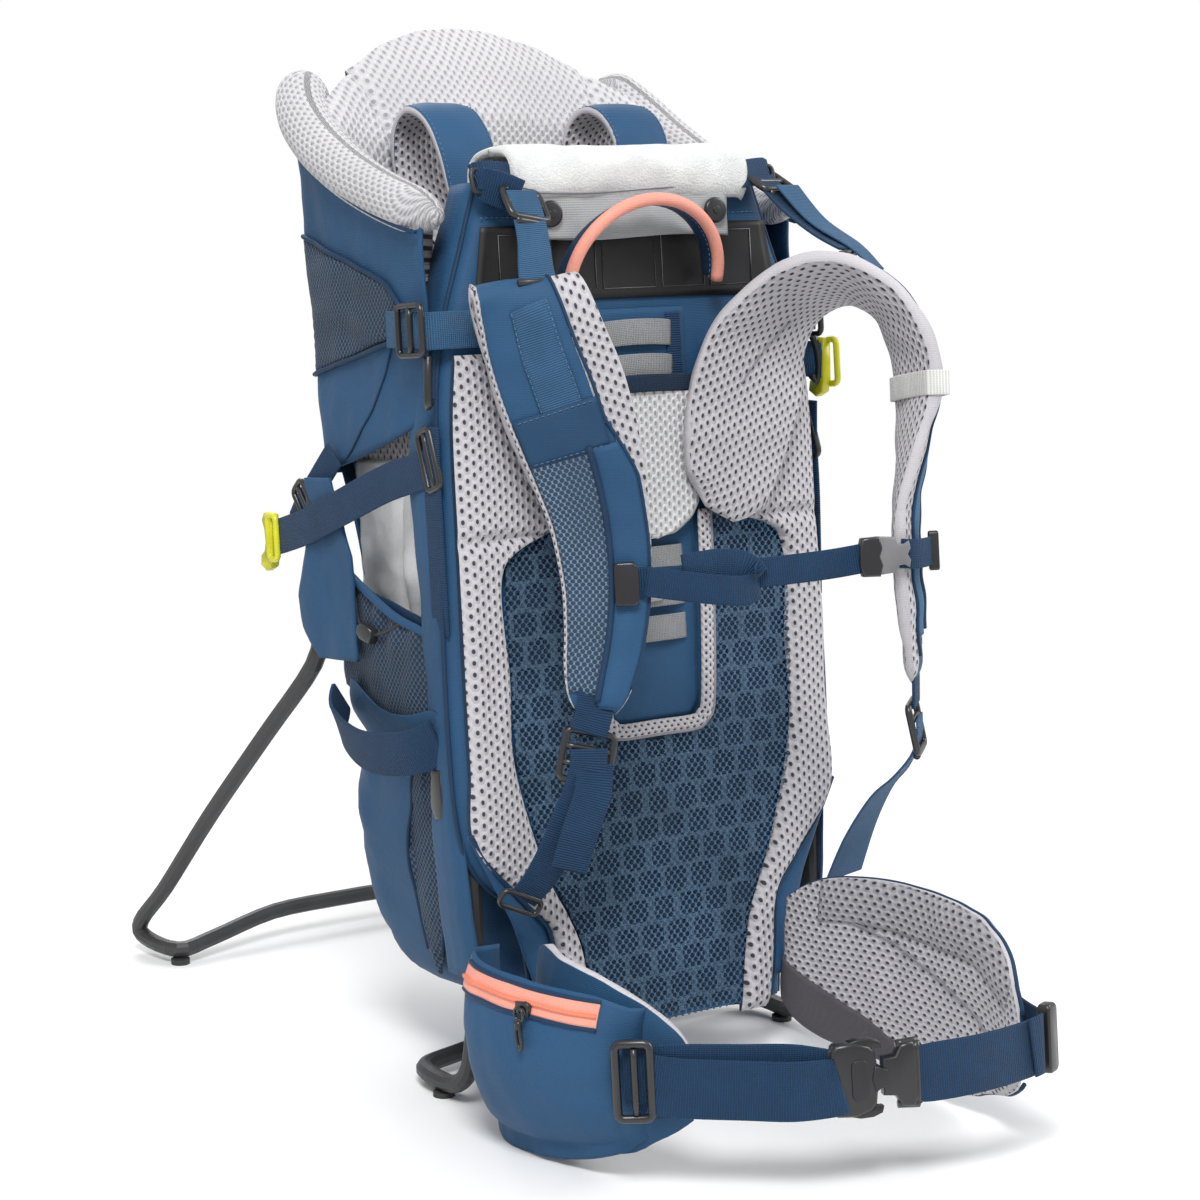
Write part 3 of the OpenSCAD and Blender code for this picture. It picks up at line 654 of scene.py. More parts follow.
m_coral = woven("coral_cloth", (0.78, 0.22, 0.13), rib=0.0013, gloss=0.55)
m_coral_tape = woven("coral_zip_tape", (0.85, 0.33, 0.25), rib=0.0012, gloss=0.5)
m_thread = plain_thread("blue_thread", (0.10, 0.20, 0.34))
m_thread_grey = plain_thread("grey_thread", (0.25, 0.25, 0.28))
m_label = moulded("black_label", (0.006, 0.006, 0.007), rough=0.5, coat=0.0)
m_label_line = plain_thread("label_line", (0.30, 0.30, 0.31))
m_foam = woven("blue_foam", (0.085, 0.145, 0.215), rib=0.002, gloss=0.8)
# Painted shade: a dark copy of the foam colour for the hollows between the raised cells.
m_foam_painted_shade = woven("foam_painted_shade", (0.016, 0.036, 0.068), rib=0.002, gloss=0.85)
m_panel_net = see_through_net("panel_net", (0.055, 0.115, 0.20), 0.0056, 0.0064)
m_blue_dark_web = webbing("dark_blue_webbing", shade(BLUE_WEB, 0.55))
m_web_light = webbing("light_blue_webbing", (0.036, 0.110, 0.22), pitch=0.0015)
m_blue_dark2 = woven("blue_patch", (0.013, 0.053, 0.122), gloss=0.6)
m_side_net2 = air_mesh("strap_net", (0.16, 0.25, 0.36), (0.02, 0.045, 0.085), 0.0044, 0.0056)
m_elastic = webbing("white_elastic", (0.72, 0.72, 0.70), pitch=0.0022, deep=0.4, light=1.1)
m_dark_cloth = woven("dark_base_cloth", (0.085, 0.078, 0.09), gloss=0.85)
# Painted shade: a darker copy of the grey mesh for the cockpit's inner pads and the hip wing's upper
# roll.
m_mesh_shade = spacer_mesh("grey_mesh_painted_shade", shade(GREY, 0.82), HOLE_SHADE)
m_mesh_light = spacer_mesh("light_collar_mesh", (0.66, 0.65, 0.67), (0.30, 0.29, 0.33), 0.0078, 0.007,
                           0.0019, 0.003)


# ---- Camera, floor and light -------------------------------------------------------------
def camera():
    data = bpy.data.cameras.new("camera")
    data.lens = 87.0
    data.sensor_width = 36.0
    data.dof.use_dof = False
    data.clip_start = 0.05
    data.clip_end = 50.0
    cam = bpy.data.objects.new("camera", data)
    az, el, far = math.radians(-35.0), math.radians(9.5), 2.03
    back = Vector((math.sin(az) * math.cos(el), -math.cos(az) * math.cos(el), math.sin(el)))
    target = Vector(stood([-18.0, 61.0, 336.0]))
    cam.location = target + back * far
    cam.rotation_mode = "QUATERNION"
    cam.rotation_quaternion = (-back).to_track_quat("-Z", "Y")
    bpy.context.scene.collection.objects.link(cam)
    bpy.context.scene.camera = cam


def lamp(name, where, size, power, aim=(0, 0, 0.38), color=(1, 1, 1)):
    data = bpy.data.lights.new(name, "AREA")
    data.shape = "DISK"
    data.size = size
    data.energy = power
    data.color = color
    obj = bpy.data.objects.new(name, data)
    obj.location = where
    to = Vector(aim) - Vector(where)
    obj.rotation_mode = "QUATERNION"
    obj.rotation_quaternion = to.to_track_quat("-Z", "Y")
    bpy.context.scene.collection.objects.link(obj)


def studio():
    """A wide pale floor, a bright sky and three soft lamps."""
    wide = 3.0
    mesh = bpy.data.meshes.new("floor")
    corners = [(-wide, -wide, 0), (wide, -wide, 0), (wide, wide, 0), (-wide, wide, 0)]
    mesh.from_pydata(corners, [], [(0, 1, 2, 3)])
    s = Shader("studio_floor", (0.93, 0.93, 0.93), rough=0.9)
    s.paint(s.mix(s.noise(s.place(), 3.0), (0.92, 0.92, 0.92), (0.94, 0.94, 0.94)))
    ground = s.add("ShaderNodeNewGeometry")
    fade = s.add("ShaderNodeMapRange", interpolation_type="SMOOTHSTEP")
    fade.inputs[1].default_value = 0.5
    fade.inputs[2].default_value = 1.5
    s.link(s.vector("LENGTH", ground.outputs["Position"]), fade.inputs[0])
    clear = s.add("ShaderNodeBsdfTransparent")
    blend = s.add("ShaderNodeMixShader")
    s.link(fade.outputs[0], blend.inputs[0])
    s.link(s.bsdf.outputs["BSDF"], blend.inputs[1])
    s.link(clear.outputs[0], blend.inputs[2])
    s.link(blend.outputs[0], s.out.inputs["Surface"])
    mesh.materials.append(s.mat)
    floor = bpy.data.objects.new("floor", mesh)
    bpy.context.scene.collection.objects.link(floor)
    world = bpy.data.worlds.new("sky")
    world.use_nodes = True
    tree = world.node_tree
    sky = tree.nodes["Background"]
    sky.inputs[0].default_value = (1, 1, 1, 1)
    path = tree.nodes.new("ShaderNodeLightPath")
    level = tree.nodes.new("ShaderNodeMapRange")
    level.inputs[3].default_value = 0.62
    level.inputs[4].default_value = 1.0
    tree.links.new(path.outputs["Is Camera Ray"], level.inputs[0])
    tree.links.new(level.outputs[0], sky.inputs[1])
    bpy.context.scene.world = world
    lamp("key", (-1.3, -1.7, 2.9), 1.2, 78)
    lamp("fill", (2.4, -1.2, 1.9), 1.6, 34)
    lamp("rim", (0.6, 2.4, 2.4), 1.6, 35)
    bpy.context.scene.view_settings.view_transform = "Standard"


camera()
studio()


# ---- Helpers for the pieces ----------------------------------------------------------------
def both_sides(build):
    """Builds a piece at the left and its mirror image at the right."""
    return [build(sign, part) for sign, part in SIDES]


def flipped(rows, sign):
    """Rows mirrored to the side of that sign; they are given for the right."""
    rows = np.array(rows, float)
    rows[:, 0] *= sign
    if rows.shape[1] >= 6:
        rows[:, 3] *= sign
    return rows


def grid(name, points, mat, uvs, body="pack", thick=1.2, rim=None, space=pack, outward=None):
    """A sheet of cloth through a grid of mm points [rows][columns], thick mm thick."""
    points = np.asarray(points, float)
    nv, nu = points.shape[:2]
    du = np.gradient(points, axis=1)
    dv = np.gradient(points, axis=0)
    up = unit(np.cross(du, dv) + 1e-9)
    if outward is not None and np.mean(up @ np.asarray(outward, float)) < 0:
        up = -up
    front = points + up * thick / 2
    back = points - up * thick / 2
    verts = np.vstack([front.reshape(-1, 3), back.reshape(-1, 3)])
    n = nu * nv
    faces, face_mat = [], []
    for k in range(nv - 1):
        for i in range(nu - 1):
            a, b, c, d = k * nu + i, k * nu + i + 1, (k + 1) * nu + i + 1, (k + 1) * nu + i
            faces += [(a, b, c, d), (n + d, n + c, n + b, n + a)]
            face_mat += [0, 0]
    rim_line = [i for i in range(nu)] + [k * nu + nu - 1 for k in range(1, nv)]
    rim_line += [(nv - 1) * nu + i for i in range(nu - 2, -1, -1)]
    rim_line += [k * nu for k in range(nv - 2, 0, -1)]
    for p, q in zip(rim_line, rim_line[1:] + rim_line[:1]):
        faces.append((q, p, n + p, n + q))
        face_mat.append(1)
    mesh_uv = np.vstack([np.asarray(uvs, float).reshape(-1, 2)] * 2) * MM
    return new_object(name, space(verts), faces, body, [mat, rim or mat], face_mat, mesh_uv)


def joined(name, objects):
    """Several meshes made into one object."""
    bpy.context.view_layer.update()
    verts, faces, mats, face_mat, uvs = [], [], [], [], []
    for obj in objects:
        mesh = obj.data
        world = np.array(obj.matrix_world)
        base = len(verts)
        co = np.empty(len(mesh.vertices) * 3)
        mesh.vertices.foreach_get("co", co)
        co = co.reshape(-1, 3) @ world[:3, :3].T + world[:3, 3]
        verts.extend(co.tolist())
        slots = []
        for m in mesh.materials:
            if m not in mats:
                mats.append(m)
            slots.append(mats.index(m))
        layer = mesh.uv_layers[0].data if mesh.uv_layers else None
        for p in mesh.polygons:
            faces.append([v + base for v in p.vertices])
            face_mat.append(slots[p.material_index] if slots else 0)
            for li in p.loop_indices:
                uvs.append(tuple(layer[li].uv) if layer else (0.0, 0.0))
    body = objects[0]["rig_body"]
    for obj in objects:
        bpy.data.objects.remove(obj)
    mesh = bpy.data.meshes.new(name)
    mesh.from_pydata(verts, [], faces)
    for m in mats:
        mesh.materials.append(m)
    mesh.polygons.foreach_set("material_index", np.asarray(face_mat, np.int32))
    layer = mesh.uv_layers.new(name="UVMap")
    layer.data.foreach_set("uv", np.asarray(uvs, np.float32).ravel())
    mesh.polygons.foreach_set("use_smooth", [True] * len(mesh.polygons))
    mesh.update()
    obj = bpy.data.objects.new(name, mesh)
    bpy.context.scene.collection.objects.link(obj)
    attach(obj, body)
    return obj


def loop_buckle(name, at, x, y, w, h, slots, mat, body="pack", r=2.6, bar=2.0, lip=True):
    """A moulded loop buckle in the x-y plane at a point: rounded frame and cross bars."""
    x, y = unit(x), unit(y)
    z = np.cross(x, y)
    at = np.asarray(at, float)
    c = 4.0
    corners = []
    for sx, sy, a0 in ((1, 1, 0), (-1, 1, 90), (-1, -1, 180), (1, -1, 270)):
        for a in (0, 30, 60, 90):
            t = math.radians(a0 + a)
            corners.append([sx * (w / 2 - c) + c * math.cos(t), sy * (h / 2 - c) + c * math.sin(t)])
    ring = [at + x * p + y * q for p, q in corners]
    parts = [tube(name + "_rim", ring, r, mat, body, 10, closed=True)]
    for i in range(1, slots):
        q = -h / 2 + h * i / slots
        line = [at - x * (w / 2) + y * q, at + x * (w / 2) + y * q]
        parts.append(tube(name + "_bar", evenly(line, 6), bar, mat, body, 10))
    if lip:
        line = [at - x * (w / 2 - 3) - y * (h / 2 + 2) - z * 1.5,
                at + x * (w / 2 - 3) - y * (h / 2 + 2) - z * 1.5]
        parts.append(tube(name + "_lip", evenly(line, 8), r * 1.05, mat, body, 10))
    return joined(name, parts)


def block(name, at, x, y, outline, depth, mat, body="pack", soft=1.0, rings=4):
    """A moulded block: an outline in the x-y plane with rounded edges, depth mm thick."""
    x, y = unit(x), unit(y)
    z = np.cross(x, y)
    outline = np.asarray(outline, float)
    middle = outline.mean(0)
    profile = [(-depth / 2 + soft * (1 - math.cos(math.pi / 2 * k / rings)),
                soft * (1 - math.sin(math.pi / 2 * k / rings))) for k in range(rings + 1)]
    profile += [(-h, s) for h, s in reversed(profile)]
    out_rings, uvs = [], []
    size = np.linalg.norm(outline - middle, axis=1, keepdims=True)
    for h, s in profile:
        flat = middle + (outline - middle) * (1 - s / np.maximum(size, 1e-6))
        out_rings.append(np.asarray(at, float) + flat[:, :1] * x + flat[:, 1:] * y + h * z)
        uvs.append(flat * MM)
    rings_w = pack(np.array(out_rings).reshape(-1, 3)).reshape(len(out_rings), -1, 3)
    return skin(name, rings_w, uvs, body, [mat])


def rounded_outline(w, h, c, n=5):
    points = []
    for sx, sy, a0 in ((1, 1, 0), (-1, 1, 90), (-1, -1, 180), (1, -1, 270)):
        for k in range(n):
            t = math.radians(a0 + 90 * k / (n - 1))
            points.append([sx * (w / 2 - c) + c * math.cos(t), sy * (h / 2 - c) + c * math.sin(t)])
    return points


# ---- Frame and stand ---------------------------------------------------------------------
for node in ("base_lugs", "stand_lugs"):
    bevelled(node, 0.8)
    dressed(node, m_rubber)
bevelled("stand_knuckles", 0.8)
dressed("stand_knuckles", m_black)
bevelled("stand_pivots", 0.5)
dressed("stand_pivots", m_steel)
for node in ("main_frame", "side_struts", "kickstand_tube"):
    dressed(node, m_tube)
    nodes[node].data.polygons.foreach_set("use_smooth", [True] * len(nodes[node].data.polygons))

# ---- Back panel --------------------------------------------------------------------------
PANEL_SIDE = [[112, 636], [128, 590], [150, 520], [157, 430], [158, 200], [116, 132], [104, 44]]


def panel_sheet():
    """The panel's blue cloth: one sheet over the frame with a softly rolled edge."""
    side = smooth([[x, 0, z] for x, z in PANEL_SIDE], 8.0)
    rows, uvs = [], []
    for x, _, z in side:
        half = np.linspace(-1, 1, 41)
        line = []
        for u in half:
            roll = max(0.0, abs(u) - 0.9) / 0.1
            y = 0.2 + 7.5 * roll * roll + 0.5 * ripple(u * 3, z / 40, 0)
            line.append([u * x, y, z])
        rows.append(line)
        uvs.append([[p[0], p[2]] for p in line])
    panel = grid("panel_cloth", rows, m_blue, uvs, thick=2.4, outward=(0, -1, 0))
    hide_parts("panel_fabric")
    for sign, side_name in SIDES:
        line = [[sign * (p[0] + 0.6), 7.8, p[2]] for p in side]
        piping = tube("panel_piping_" + side_name, line, 2.0, m_blue_dark, sides=8)
    dressed("back_board", m_label)


panel_sheet()


def foam_cells():
    """Raised foam cells in staggered rows under the net, with painted shade on the faces low between
    them.
    """
    verts, faces, uvs = [], [], []
    side = np.array([[60, 402], [116, 374], [116, 238], [96, 165], [72, 110], [60, 46]], float)
    nx, nz = 121, 181
    xs = np.linspace(-122, 122, nx)
    zs = np.linspace(48, 404, nz)

    def half_width(z):
        return float(np.interp(z, side[::-1, 1], side[::-1, 0]))

    def inside(x, z):
        if abs(x) > half_width(z):
            return False
        edge = np.interp(z, [246, 262, 410], [36, 49, 55])
        return not (z > 246 and abs(x) < edge)

    index = {}
    for j, z in enumerate(zs):
        for i, x in enumerate(xs):
            if not inside(x, z):
                continue
            row = math.floor(z / 19.0)
            u = (x / 23.0 + 0.5 * (row % 2)) % 1.0
            v = (z / 19.0) % 1.0
            ridge = max(0.0, 1 - min(v, 1 - v) * 19 / 4.2)
            post = max(0.0, 1 - abs(u - 0.5) * 23 / 4.4)
            wave = 0.5 + 0.5 * math.cos(2 * math.pi * (u - 0.5))
            high = 1.6 + 2.4 * max(ridge * (0.35 + 0.65 * wave), post * 0.9)
            index[i, j] = len(verts)
            verts.append([x, -1.4 - high, z])
            uvs.append([x * MM, z * MM])
    for (i, j), a in index.items():
        b, c, d = index.get((i + 1, j)), index.get((i + 1, j + 1)), index.get((i, j + 1))
        if None not in (b, c, d):
            faces.append((a, b, c, d))
    # Painted shade: faces low between the raised cells get the darker foam material.
    tops = [sum(-verts[i][1] for i in f) / 4 > 4.0 for f in faces]
    cells = new_object("foam_cells", pack(verts), faces, "pack", [m_foam_painted_shade, m_foam], tops, uvs)
    solid = cells.modifiers.new("thick", "SOLIDIFY")
    solid.thickness = 0.0012
    solid.offset = -1
    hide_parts("foam_grid")


foam_cells()


def panel_net():
    """The net over the foam cells, stretched between the side pads."""
    side = smooth([[60, 0, 403], [116, 0, 375], [117, 0, 238], [97, 0, 165], [73, 0, 110],
                   [61, 0, 45]], 5.0)
    made = []
    for sign, part in SIDES:
        rows, uvs = [], []
        for x, _, z in side:
            inner = np.interp(z, [246, 262, 410], [36, 49, 55]) if z > 246 else 0.0
            xs = np.linspace(inner, x, 30)
            rows.append([[sign * q, -6.9 - 0.5 * math.sin(q / 7.0) * math.sin(z / 6.0), z] for q in xs])
            uvs.append([[sign * q, z] for q in xs])
        made.append(grid("net_" + part, rows, m_panel_net, uvs, thick=0.5, outward=(0, -1, 0)))
    net = joined("panel_net", made)
    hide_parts("back_mesh")


panel_net()
PAD_OUT = [[146, 516], [151, 470], [152, 400], [153, 300], [153, 240], [153, 188], [120, 148], [97, 122],
           [92, 80], [86, 38]]
PAD_IN = [[60, 516], [60, 470], [61, 404], [117, 376], [118, 300], [118, 238], [98, 164], [84, 132],
          [72, 100],
          [63, 38]]


def side_pads():
    """The two grey mesh pads of the back, crowned, with a seam where they widen."""

    def build(sign, part):
        out = [[sign * x, -1.8, z] for x, z in PAD_OUT]
        inn = [[sign * x, -1.8, z] for x, z in PAD_IN]
        out = smooth(np.array(out), 5.0)
        inn = smooth(np.array(inn), 5.0)
        left, right = (out, inn) if sign < 0 else (inn, out)

        def puff(u, v):
            z = 516 - v * 478
            seam = math.exp(-(((z - 396) / 4.5) ** 2))
            return 1.6 * ripple(u * 2.2 + sign, v * 9.0, 0) - 4.5 * seam

        pad = sheet_between("back_pad_" + part, left, right, m_mesh, m_blue_dark, m_blue_dark,
                            count=(26, 150), bulge=9.5, thick=2.4, power=5.0, edge=0.15, puff=puff)
        return pad

    pads = both_sides(build)
    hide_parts("back_pads")
    for sign in (-1, 1):
        line = smooth([[sign * 118, -13.0, 400], [sign * 130, -13.6, 397], [sign * 146, -11.0, 396]], 2.0)
        seam = stitches("pad_seam_" + ("left" if sign < 0 else "right"), line, m_thread_grey)


side_pads()


def corner_panels():
    """The blue cloth triangles beside the lower pads, with a piped edge."""

    def build(sign, part):
        rows, uvs = [], []
        for t in np.linspace(0, 1, 26):
            z = 196 - t * 136
            inner = np.interp(z, [60, 80, 124, 148, 196], [93, 94, 99, 121, 153])
            outer = np.interp(z, [60, 80, 132, 196], [106, 109, 126, 158])
            xs = np.linspace(inner - 2, max(outer, inner + 1), 10)
            rows.append([[sign * q, -2.2 - 2.0 * math.sin(math.pi * k / 9), z] for k, q in enumerate(xs)])
            uvs.append([[sign * q, z] for q in xs])
        return grid("corner_panel_" + part, rows, m_blue, uvs, thick=1.4, outward=(0, -1, 0))

    for obj, sign in zip(both_sides(build), (-1, 1)):
        edge = smooth([[sign * 156, -4.5, 196], [sign * 138, -6, 168], [sign * 112, -6, 139],
                       [sign * 98, -6, 120], [sign * 94, -5, 80], [sign * 92, -4, 60]], 3.0)
        piping = tube("corner_piping" + ("_left" if sign < 0 else "_right"), edge, 1.7, m_blue_dark,
                      sides=8)


corner_panels()


def channel():
    """The light trim round the height channel and the blue sleeve inside it."""
    line = [[-49, 400], [-48, 340], [-44, 268], [-38, 255], [-30, 251.5], [0, 251.5], [30, 251.5],
            [38, 255], [44, 268],
            [48, 340], [49, 400]]
    fine = smooth([[x, -8.2, z] for x, z in line], 3.0)
    along = headings(fine)
    inward = np.cross(along, [0, -1, 0])
    rows = [list(p) + list(s) + [10.5, 6.5] for p, s in zip(fine, inward)]
    trim = strip("channel_trim_roll", rows, m_mesh_fine, half=9, step=3.0, edge=0.2, power=2.4,
                 square=False,
                 flip=True)
    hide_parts("channel_trim")
    inner = [list(p + s * 5.3 + np.array([0, -1.2, 0])) for p, s in zip(fine, inward)]
    piping = tube("channel_piping", inner, 1.0, m_thread_grey, sides=8)

    rows, uvs = [], []
    for z in np.linspace(542, 256, 72):
        half = np.interp(z, [256, 268, 400, 542], [31, 39, 43, 43])
        xs = np.linspace(-half, half, 24)
        rows.append([[x, -3.2 - 0.5 * math.cos(x / half * 1.5) - 0.5 * ripple(x / 20, z / 28, 1), z]
                     for x in xs])
        uvs.append([[x, z] for x in xs])
    sleeve = grid("height_sleeve", rows, m_blue, uvs, thick=1.4, outward=(0, -1, 0))
    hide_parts("adjust_sleeve")


channel()


def frame_sleeves():
    """The panel's cloth flanges, wrapped back round the frame's uprights."""

    def build(sign, part):
        def place(u, z):
            edge = float(np.interp(z, [96, 132, 200, 430, 520, 590, 636],
                                   [150, 154, 159, 158, 151, 130, 114]))
            deep = 34 + 4 * math.sin(z / 60)
            round_off = math.sin(min(1.0, u * 3) * math.pi / 2)
            x = edge - 3 + 4.5 * round_off - 5 * max(0.0, u - 0.6)
            y = 6 + deep * u + 0.8 * ripple(u * 3, z / 26, sign * 2.0)
            return [sign * (x + 1.2 * ripple(z / 34, u, 7.0)), y, z], [y, z]

        rows, uvs = sampled(np.linspace(0, 1, 18), np.linspace(630, 96, 70), place)
        return grid("frame_flange_" + part, rows, m_blue, uvs, thick=1.6, outward=(sign, 0, 0))

    for obj in both_sides(build):
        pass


frame_sleeves()


def ladder_loops():
    """Grey webbing loops that the yoke's hook passes through to set its height."""
    made = []
    for i, z in enumerate((524, 500, 368, 344, 320)):
        rows = []
        for t in np.linspace(-1, 1, 13):
            bow = (1 - t * t) ** 0.5 if abs(t) < 1 else 0.0
            rows.append([t * 30, -5.2 - 3.6 * bow, z + (1.5 if i < 2 else 0) * (1 - t * t), 0, 0, 1, 18])
        made.append(web_strap(f"ladder_{i}", rows, m_grey_web, thick=1.6))
    loops = joined("ladder_loops", made)
    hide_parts("adjust_ladder")
    for i, x in enumerate((-33.0, 33.0)):
        rows = [[x, -5.0, 538, 1, 0, 0, 12], [x, -5.2, 500, 1, 0, 0, 12], [x, -5.0, 486, 1, 0, 0, 12]]
        edge = web_strap(f"ladder_side_{i}", rows, m_web, thick=1.2)
    hook = block("ladder_hook", [-8, -11.0, 342], [1, 0, 0], [0, 0, 1],
                 [[-16, -4], [14, -2.5], [17, 1], [12, 4], [-14, 5], [-18, 1]], 3.0, m_silver, soft=1.2)


ladder_loops()


def tongue():
    """The yoke's blank pale centre flap between the two shoulder straps."""

    def outline(z):
        return float(np.interp(z, [383, 388, 396, 405, 420, 488], [6, 24, 36, 42, 44, 45]))

    rows, uvs = [], []
    for z in np.linspace(490, 383, 54):
        half = outline(z)
        xs = np.linspace(-half, half, 30)
        line = []
        for x in xs:
            edge = min(1.0, (half - abs(x)) / 5.0 + 0.05, (z - 382) / 6.0 + 0.05)
            line.append([x, -9.4 - 3.4 * math.sqrt(edge) * (1.0 - 0.2 * math.cos(x / half * 2)), z])
        rows.append(line)
        uvs.append([[x, z] for x in xs])
    flap = grid("yoke_flap", rows, m_mesh_white, uvs, thick=2.0, rim=m_silver, outward=(0, -1, 0))
    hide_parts("yoke_tongue")
    line = [[-outline(z) + 1.0, -11.0, z] for z in np.linspace(488, 386, 36)]
    line += [[outline(z) - 1.0, -11.0, z] for z in np.linspace(386, 488, 36)]
    rim = tube("yoke_flap_piping", smooth(np.array(line), 2.5), 1.7, m_silver, sides=8)
    for z, w in ((470, 84), (440, 84)):
        band = [[x, -11.6 - 1.2 * (1 - (x / 44) ** 2), z] for x in np.linspace(-w / 2, w / 2, 30)]
        row = stitches(f"yoke_flap_seam_{z}", band, m_thread_grey)
    rows = [[-42, -13.2, 489, 0, 0, 1, 12], [0, -15.0, 490, 0, 0, 1, 12], [42, -13.2, 489, 0, 0, 1, 12]]
    top = web_strap("yoke_flap_top", rows, m_blue_dark_web, thick=1.5)


tongue()


def label():
    """The dark label panel, left blank but for faint ruled boxes."""
    rows, uvs = [], []
    for z in np.linspace(600, 549, 14):
        half = np.interp(z, [549, 600], [127, 119])
        xs = np.linspace(-half, half, 40)
        rows.append([[x, -2.4 - 0.35 * ripple(x / 30, z / 20, 4), z] for x in xs])
        uvs.append([[x, z] for x in xs])
    patch = grid("label_panel", rows, m_label, uvs, thick=0.7, outward=(0, -1, 0))
    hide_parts("label_patch")
    parts = []
    for x0, x1 in ((-106, -70), (-64, -28), (-22, 22), (28, 64), (70, 106)):
        loop = [[x0, -3.1, 594], [x1, -3.1, 594], [x1, -3.1, 556], [x0, -3.1, 556]]
        parts.append(tube("label_box", loop, 0.35, m_label_line, sides=4, closed=True))
    boxes = joined("label_boxes", parts)


label()


def top_corners():
    """Stitch rows on the panel's top corners and the bars the load straps hang from."""
    for sign, part in SIDES:
        bar = [[sign * 124, -5, 632], [sign * 118, -9, 634], [sign * 96, -12, 632], [sign * 88, -9, 630]]
        web = web_strap("load_anchor_" + part, [[x, y, z, 0, 0.3, 1, 20] for x, y, z in bar], m_web,
                        thick=2.0)
        tab = loop_buckle("anchor_ring_" + part, [sign * 122, -7, 630], [0, 0.2, 1], [1, 0, 0], 16, 9,
                          1, m_black,
                          r=1.8, lip=False)
    stripe = []
    for sign in (-1, 1):
        line = smooth([[sign * 86, -1.9, 606], [sign * 122, -1.7, 606]], 3.0)
        stripe.append(stitches("corner_stitch", line, m_thread))
    rows = joined("corner_stitches", stripe)


top_corners()


# ---- Handle, fleece pad and snaps ----------------------------------------------------------
def grab_handle():
    """The grab handle: a folded blue band with a coral binding along its front."""
    line = np.array([[-62 * math.cos(a), -15 - 20 * math.sin(a), 560 + 54 * math.sin(a)]
                     for a in np.linspace(0, math.pi, 44)])
    along = headings(line)
    out = unit(np.cross(along, np.cross([0, 0, 1.0], [1.0, 0, 0]) * -1.0))
    face = unit(np.cross(out, along))
    face *= np.where(face[:, 1:2] > 0, -1.0, 1.0)
    rows = [[*p, *f, 17.0, 6.0] for p, f in zip(line + out * 1.0 - face * 2.5, face)]
    band = strip("handle_band", rows, m_blue_dark, half=9, step=3.0, edge=0.5, square=False,
                 body="handle")
    roll = tube("handle_binding", line + face * 4.6, 4.4, m_coral_tape, "handle", sides=14)
    row = stitches("handle_stitches", line + face * 0.8 + out * 4.0, m_thread, "handle")
    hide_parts("grab_handle")


grab_handle()


def chin_pad():
    """The fleece pad rolled over the top of the panel, with its silver front flap."""
    profile = [[-9, 618], [-13.5, 624], [-15.5, 634], [-14, 645], [-7, 651.5], [6, 653.5], [22, 653],
               [36, 650],
               [42.5, 642], [44, 625], [43, 600], [40, 597]]
    curve = smooth(np.array([[y, z, 0] for y, z in profile]), 3.0)[:, :2]
    far = lengths(np.hstack([curve, np.zeros((len(curve), 1))]))
    rows, uvs = [], []
    for k, (y, z) in enumerate(curve):
        line, uv = [], []
        for x in np.linspace(-1, 1, 70):
            half = 97 + 2 * math.sin(far[k] / far[-1] * math.pi)
            tuck = max(0.0, abs(x) - 0.9) / 0.1
            wave = 1.3 * ripple(x * 5, far[k] / 22, 0.3)
            sag = -2.2 * math.exp(-((x * 1.1) ** 2)) if k > 6 else 0.0
            line.append([x * half, y - wave * 0.8 + 5 * tuck * tuck * (1 if y < 10 else -1),
                         z + wave + sag - 3 * tuck**2])
            uv.append([x * half, far[k]])
        rows.append(line)
        uvs.append(uv)
    pad = grid("chin_fleece", rows, m_fleece, uvs, thick=5.0, outward=None)
    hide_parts("chin_pad")

    def place(x, z):
        low = 3.0 * math.sin(x / 23.0) * (626 - z) / 36
        y = -11.2 - 1.5 * ripple(x / 16, z / 13, 2) - 1.2 * math.cos(x / 52)
        return [x, y, z + low * 0.4], [x, z]

    rows, uvs = sampled(np.linspace(-84, 80, 60), np.linspace(626, 590, 16), place)
    flap = grid("chin_flap", rows, m_silver, uvs, thick=1.8, outward=(0, -1, 0))
    seam = [[x, -14.6 - 0.6 * math.sin(x / 17),
             622 + 1.6 * math.sin(x / 30)] for x in np.linspace(-80, 78, 60)]
    roll = tube("chin_seam", seam, 0.8, m_thread_grey, sides=6)
    made = []
    for x in (-70.0, 68.0):
        circle = circle_outline(9, 28)
        made.append(block("snap", [x, -14.2, 607], [1, 0, 0], [0, 0, 1], circle, 4.4, m_gloss, soft=1.8))
        small = circle_outline(3, 16)
        made.append(block("snap_eye", [x, -16.6, 607], [1, 0, 0], [0, 0, 1], small, 1.0, m_gloss,
                          soft=0.4))
    snaps = joined("snaps", made)
    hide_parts("snap_buttons")


chin_pad()


